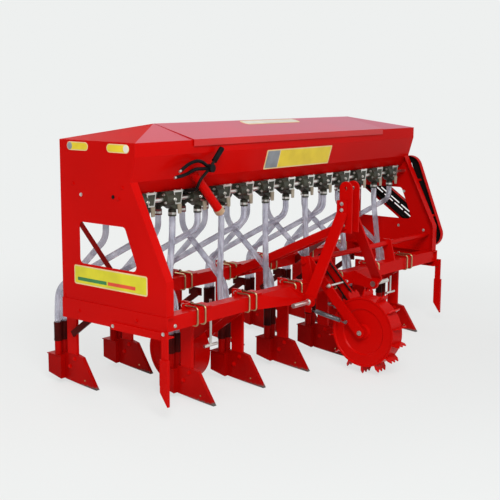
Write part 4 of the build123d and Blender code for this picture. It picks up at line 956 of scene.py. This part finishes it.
# %% Tie bolt and ferrules
TIE_BOLT = {"y": -0.262, "z": 0.429, "half": 0.092, "nut": 0.073}
FERRULES = [[mm(-905, -34, 1053), mm(-924, -34, 1043)],
            [mm(-938, -34, 1021), mm(-957, -34, 1018.5)]]
tie_ends = [Vector((side * TIE_BOLT["half"], TIE_BOLT["y"], TIE_BOLT["z"])) for side in (-1, 1)]
follow("tie_bolt", [tie_ends], {"Bend": 0.001, "Wire": 0.0060}, zinc, sides=16)
follow("ferrules", FERRULES, {"Bend": 0.001, "Wire": 0.0062}, zinc, sides=12)
repeat("tie_bolt_nuts", both_sides(0.0, TIE_BOLT["nut"], TIE_BOLT["y"], TIE_BOLT["z"]),
       {"Head": 0.0095, "Height": 0.008, "Washer": 0.0115}, hex_bolt, zinc)

# %% [markdown]
# The labels are blank here: thin vinyl plates in the colours of the real ones, with no words. A
# label is a stack of rounded plates, each a fraction of a millimetre proud of the one below, so
# each colour has its own clean edge and no image is needed. Every vinyl has a low and a high tone.

# %% Label material and mesh
VINYL = {
    "lime_vinyl": ((0.62, 0.56, 0.004), (0.74, 0.66, 0.006)),
    "cream_vinyl": ((0.74, 0.55, 0.24), (0.82, 0.64, 0.34)),
    "green_vinyl": ((0.010, 0.15, 0.035), (0.016, 0.21, 0.050)),
    "red_vinyl": ((0.66, 0.040, 0.010), (0.78, 0.065, 0.016)),
    "slate_vinyl": ((0.17, 0.19, 0.21), (0.27, 0.30, 0.33)),
    "yellow_vinyl": ((0.72, 0.53, 0.006), (0.82, 0.62, 0.012)),
    "pale_vinyl": ((0.66, 0.62, 0.52), (0.78, 0.74, 0.64)),
}
vinyl = {name: finish(name, low, high, 11.0, 220.0, 0.34, bump_size=0.0002, bump_strength=0.1)
         for name, (low, high) in VINYL.items()}
CORNER_STEPS = 6


def rounded(x0, y0, x1, y1, radius):
    """Points of a rectangle with round corners, anticlockwise."""
    corners = ((x1 - radius, y1 - radius, 0), (x0 + radius, y1 - radius, 90),
               (x0 + radius, y0 + radius, 180), (x1 - radius, y0 + radius, 270))
    points = []
    for cx, cy, start in corners:
        for k in range(CORNER_STEPS + 1):
            angle = math.radians(start + 90 * k / CORNER_STEPS)
            points.append((cx + radius * math.cos(angle), cy + radius * math.sin(angle)))
    return points


def label(name, corner, along, upward, layers, body="frame"):
    """A stack of plates on a face. A layer is x0, y0, x1, y1, corner radius, height and finish."""
    outward = along.cross(upward)
    shape = bmesh.new()
    mesh = bpy.data.meshes.new(name)
    for number, (x0, y0, x1, y1, radius, height, material) in enumerate(layers):
        mesh.materials.append(vinyl[material])
        outline = rounded(x0, y0, x1, y1, radius)
        rings = [[shape.verts.new(corner + along * x + upward * y + outward * z)
                  for x, y in outline] for z in (0.0, height)]
        faces = [shape.faces.new(rings[1]), shape.faces.new(rings[0][::-1])]
        count = len(outline)
        for k in range(count):
            after = (k + 1) % count
            faces.append(shape.faces.new((rings[0][k], rings[0][after],
                                          rings[1][after], rings[1][k])))
        for face in faces:
            face.material_index = number
    shape.to_mesh(mesh)
    shape.free()
    piece = bpy.data.objects.new(name, mesh)
    scene.collection.objects.link(piece)
    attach(piece, body)
    print(name, "with", len(layers), "layers")


# %% [markdown]
# Each label starts at its lower left corner on its face and runs along the face and up it. The
# panel has a wide sign with two coloured strips and two capsules with a disc each. The hopper's
# front carries a label with a block, and the lid a pale capsule, which opens with the lid.

# %% Labels in their places
FACE_UP = Vector((0, -0.2793, 0.9602))
SLOPE_UP = Vector((0, 0.9693, 0.2460))
label("panel_sign", mm(LEFT_X, 396, 523), SIDES["front"], UP, [
    (0.0, 0.0, 0.468, 0.088, 0.010, 0.0012, "cream_vinyl"),
    (0.006, 0.006, 0.462, 0.082, 0.006, 0.0016, "lime_vinyl"),
    (0.024, 0.018, 0.214, 0.034, 0.002, 0.0020, "green_vinyl"),
    (0.222, 0.018, 0.396, 0.034, 0.002, 0.0020, "red_vinyl")])
for name, y, disc_start, disc_colour in (("rear_capsule", 428, 0.003, "slate_vinyl"),
                                         ("front_capsule", 169, 0.104, "pale_vinyl")):
    label(name, mm(LEFT_X, y, 1132), SIDES["front"], UP, [
        (0.0, 0.0, 0.139, 0.038, 0.0189, 0.0010, "cream_vinyl"),
        (0.004, 0.004, 0.135, 0.034, 0.0149, 0.0014, "yellow_vinyl"),
        (disc_start, 0.003, disc_start + 0.032, 0.035, 0.0159, 0.0018, disc_colour)])
label("hopper_label", mm(-252, 25.4, 1010), SIDES["right"], FACE_UP, [
    (0.0, 0.0, 0.562, 0.101, 0.004, 0.0010, "cream_vinyl"),
    (0.008, 0.006, 0.106, 0.095, 0.003, 0.0014, "slate_vinyl"),
    (0.112, 0.006, 0.555, 0.095, 0.003, 0.0014, "yellow_vinyl")])
label("lid_label", mm(-210, 166, 1227), SIDES["right"], SLOPE_UP, [
    (0.0, 0.0, 0.470, 0.062, 0.028, 0.0010, "cream_vinyl"),
    (0.012, 0.009, 0.458, 0.053, 0.020, 0.0014, "pale_vinyl")], body="lid")
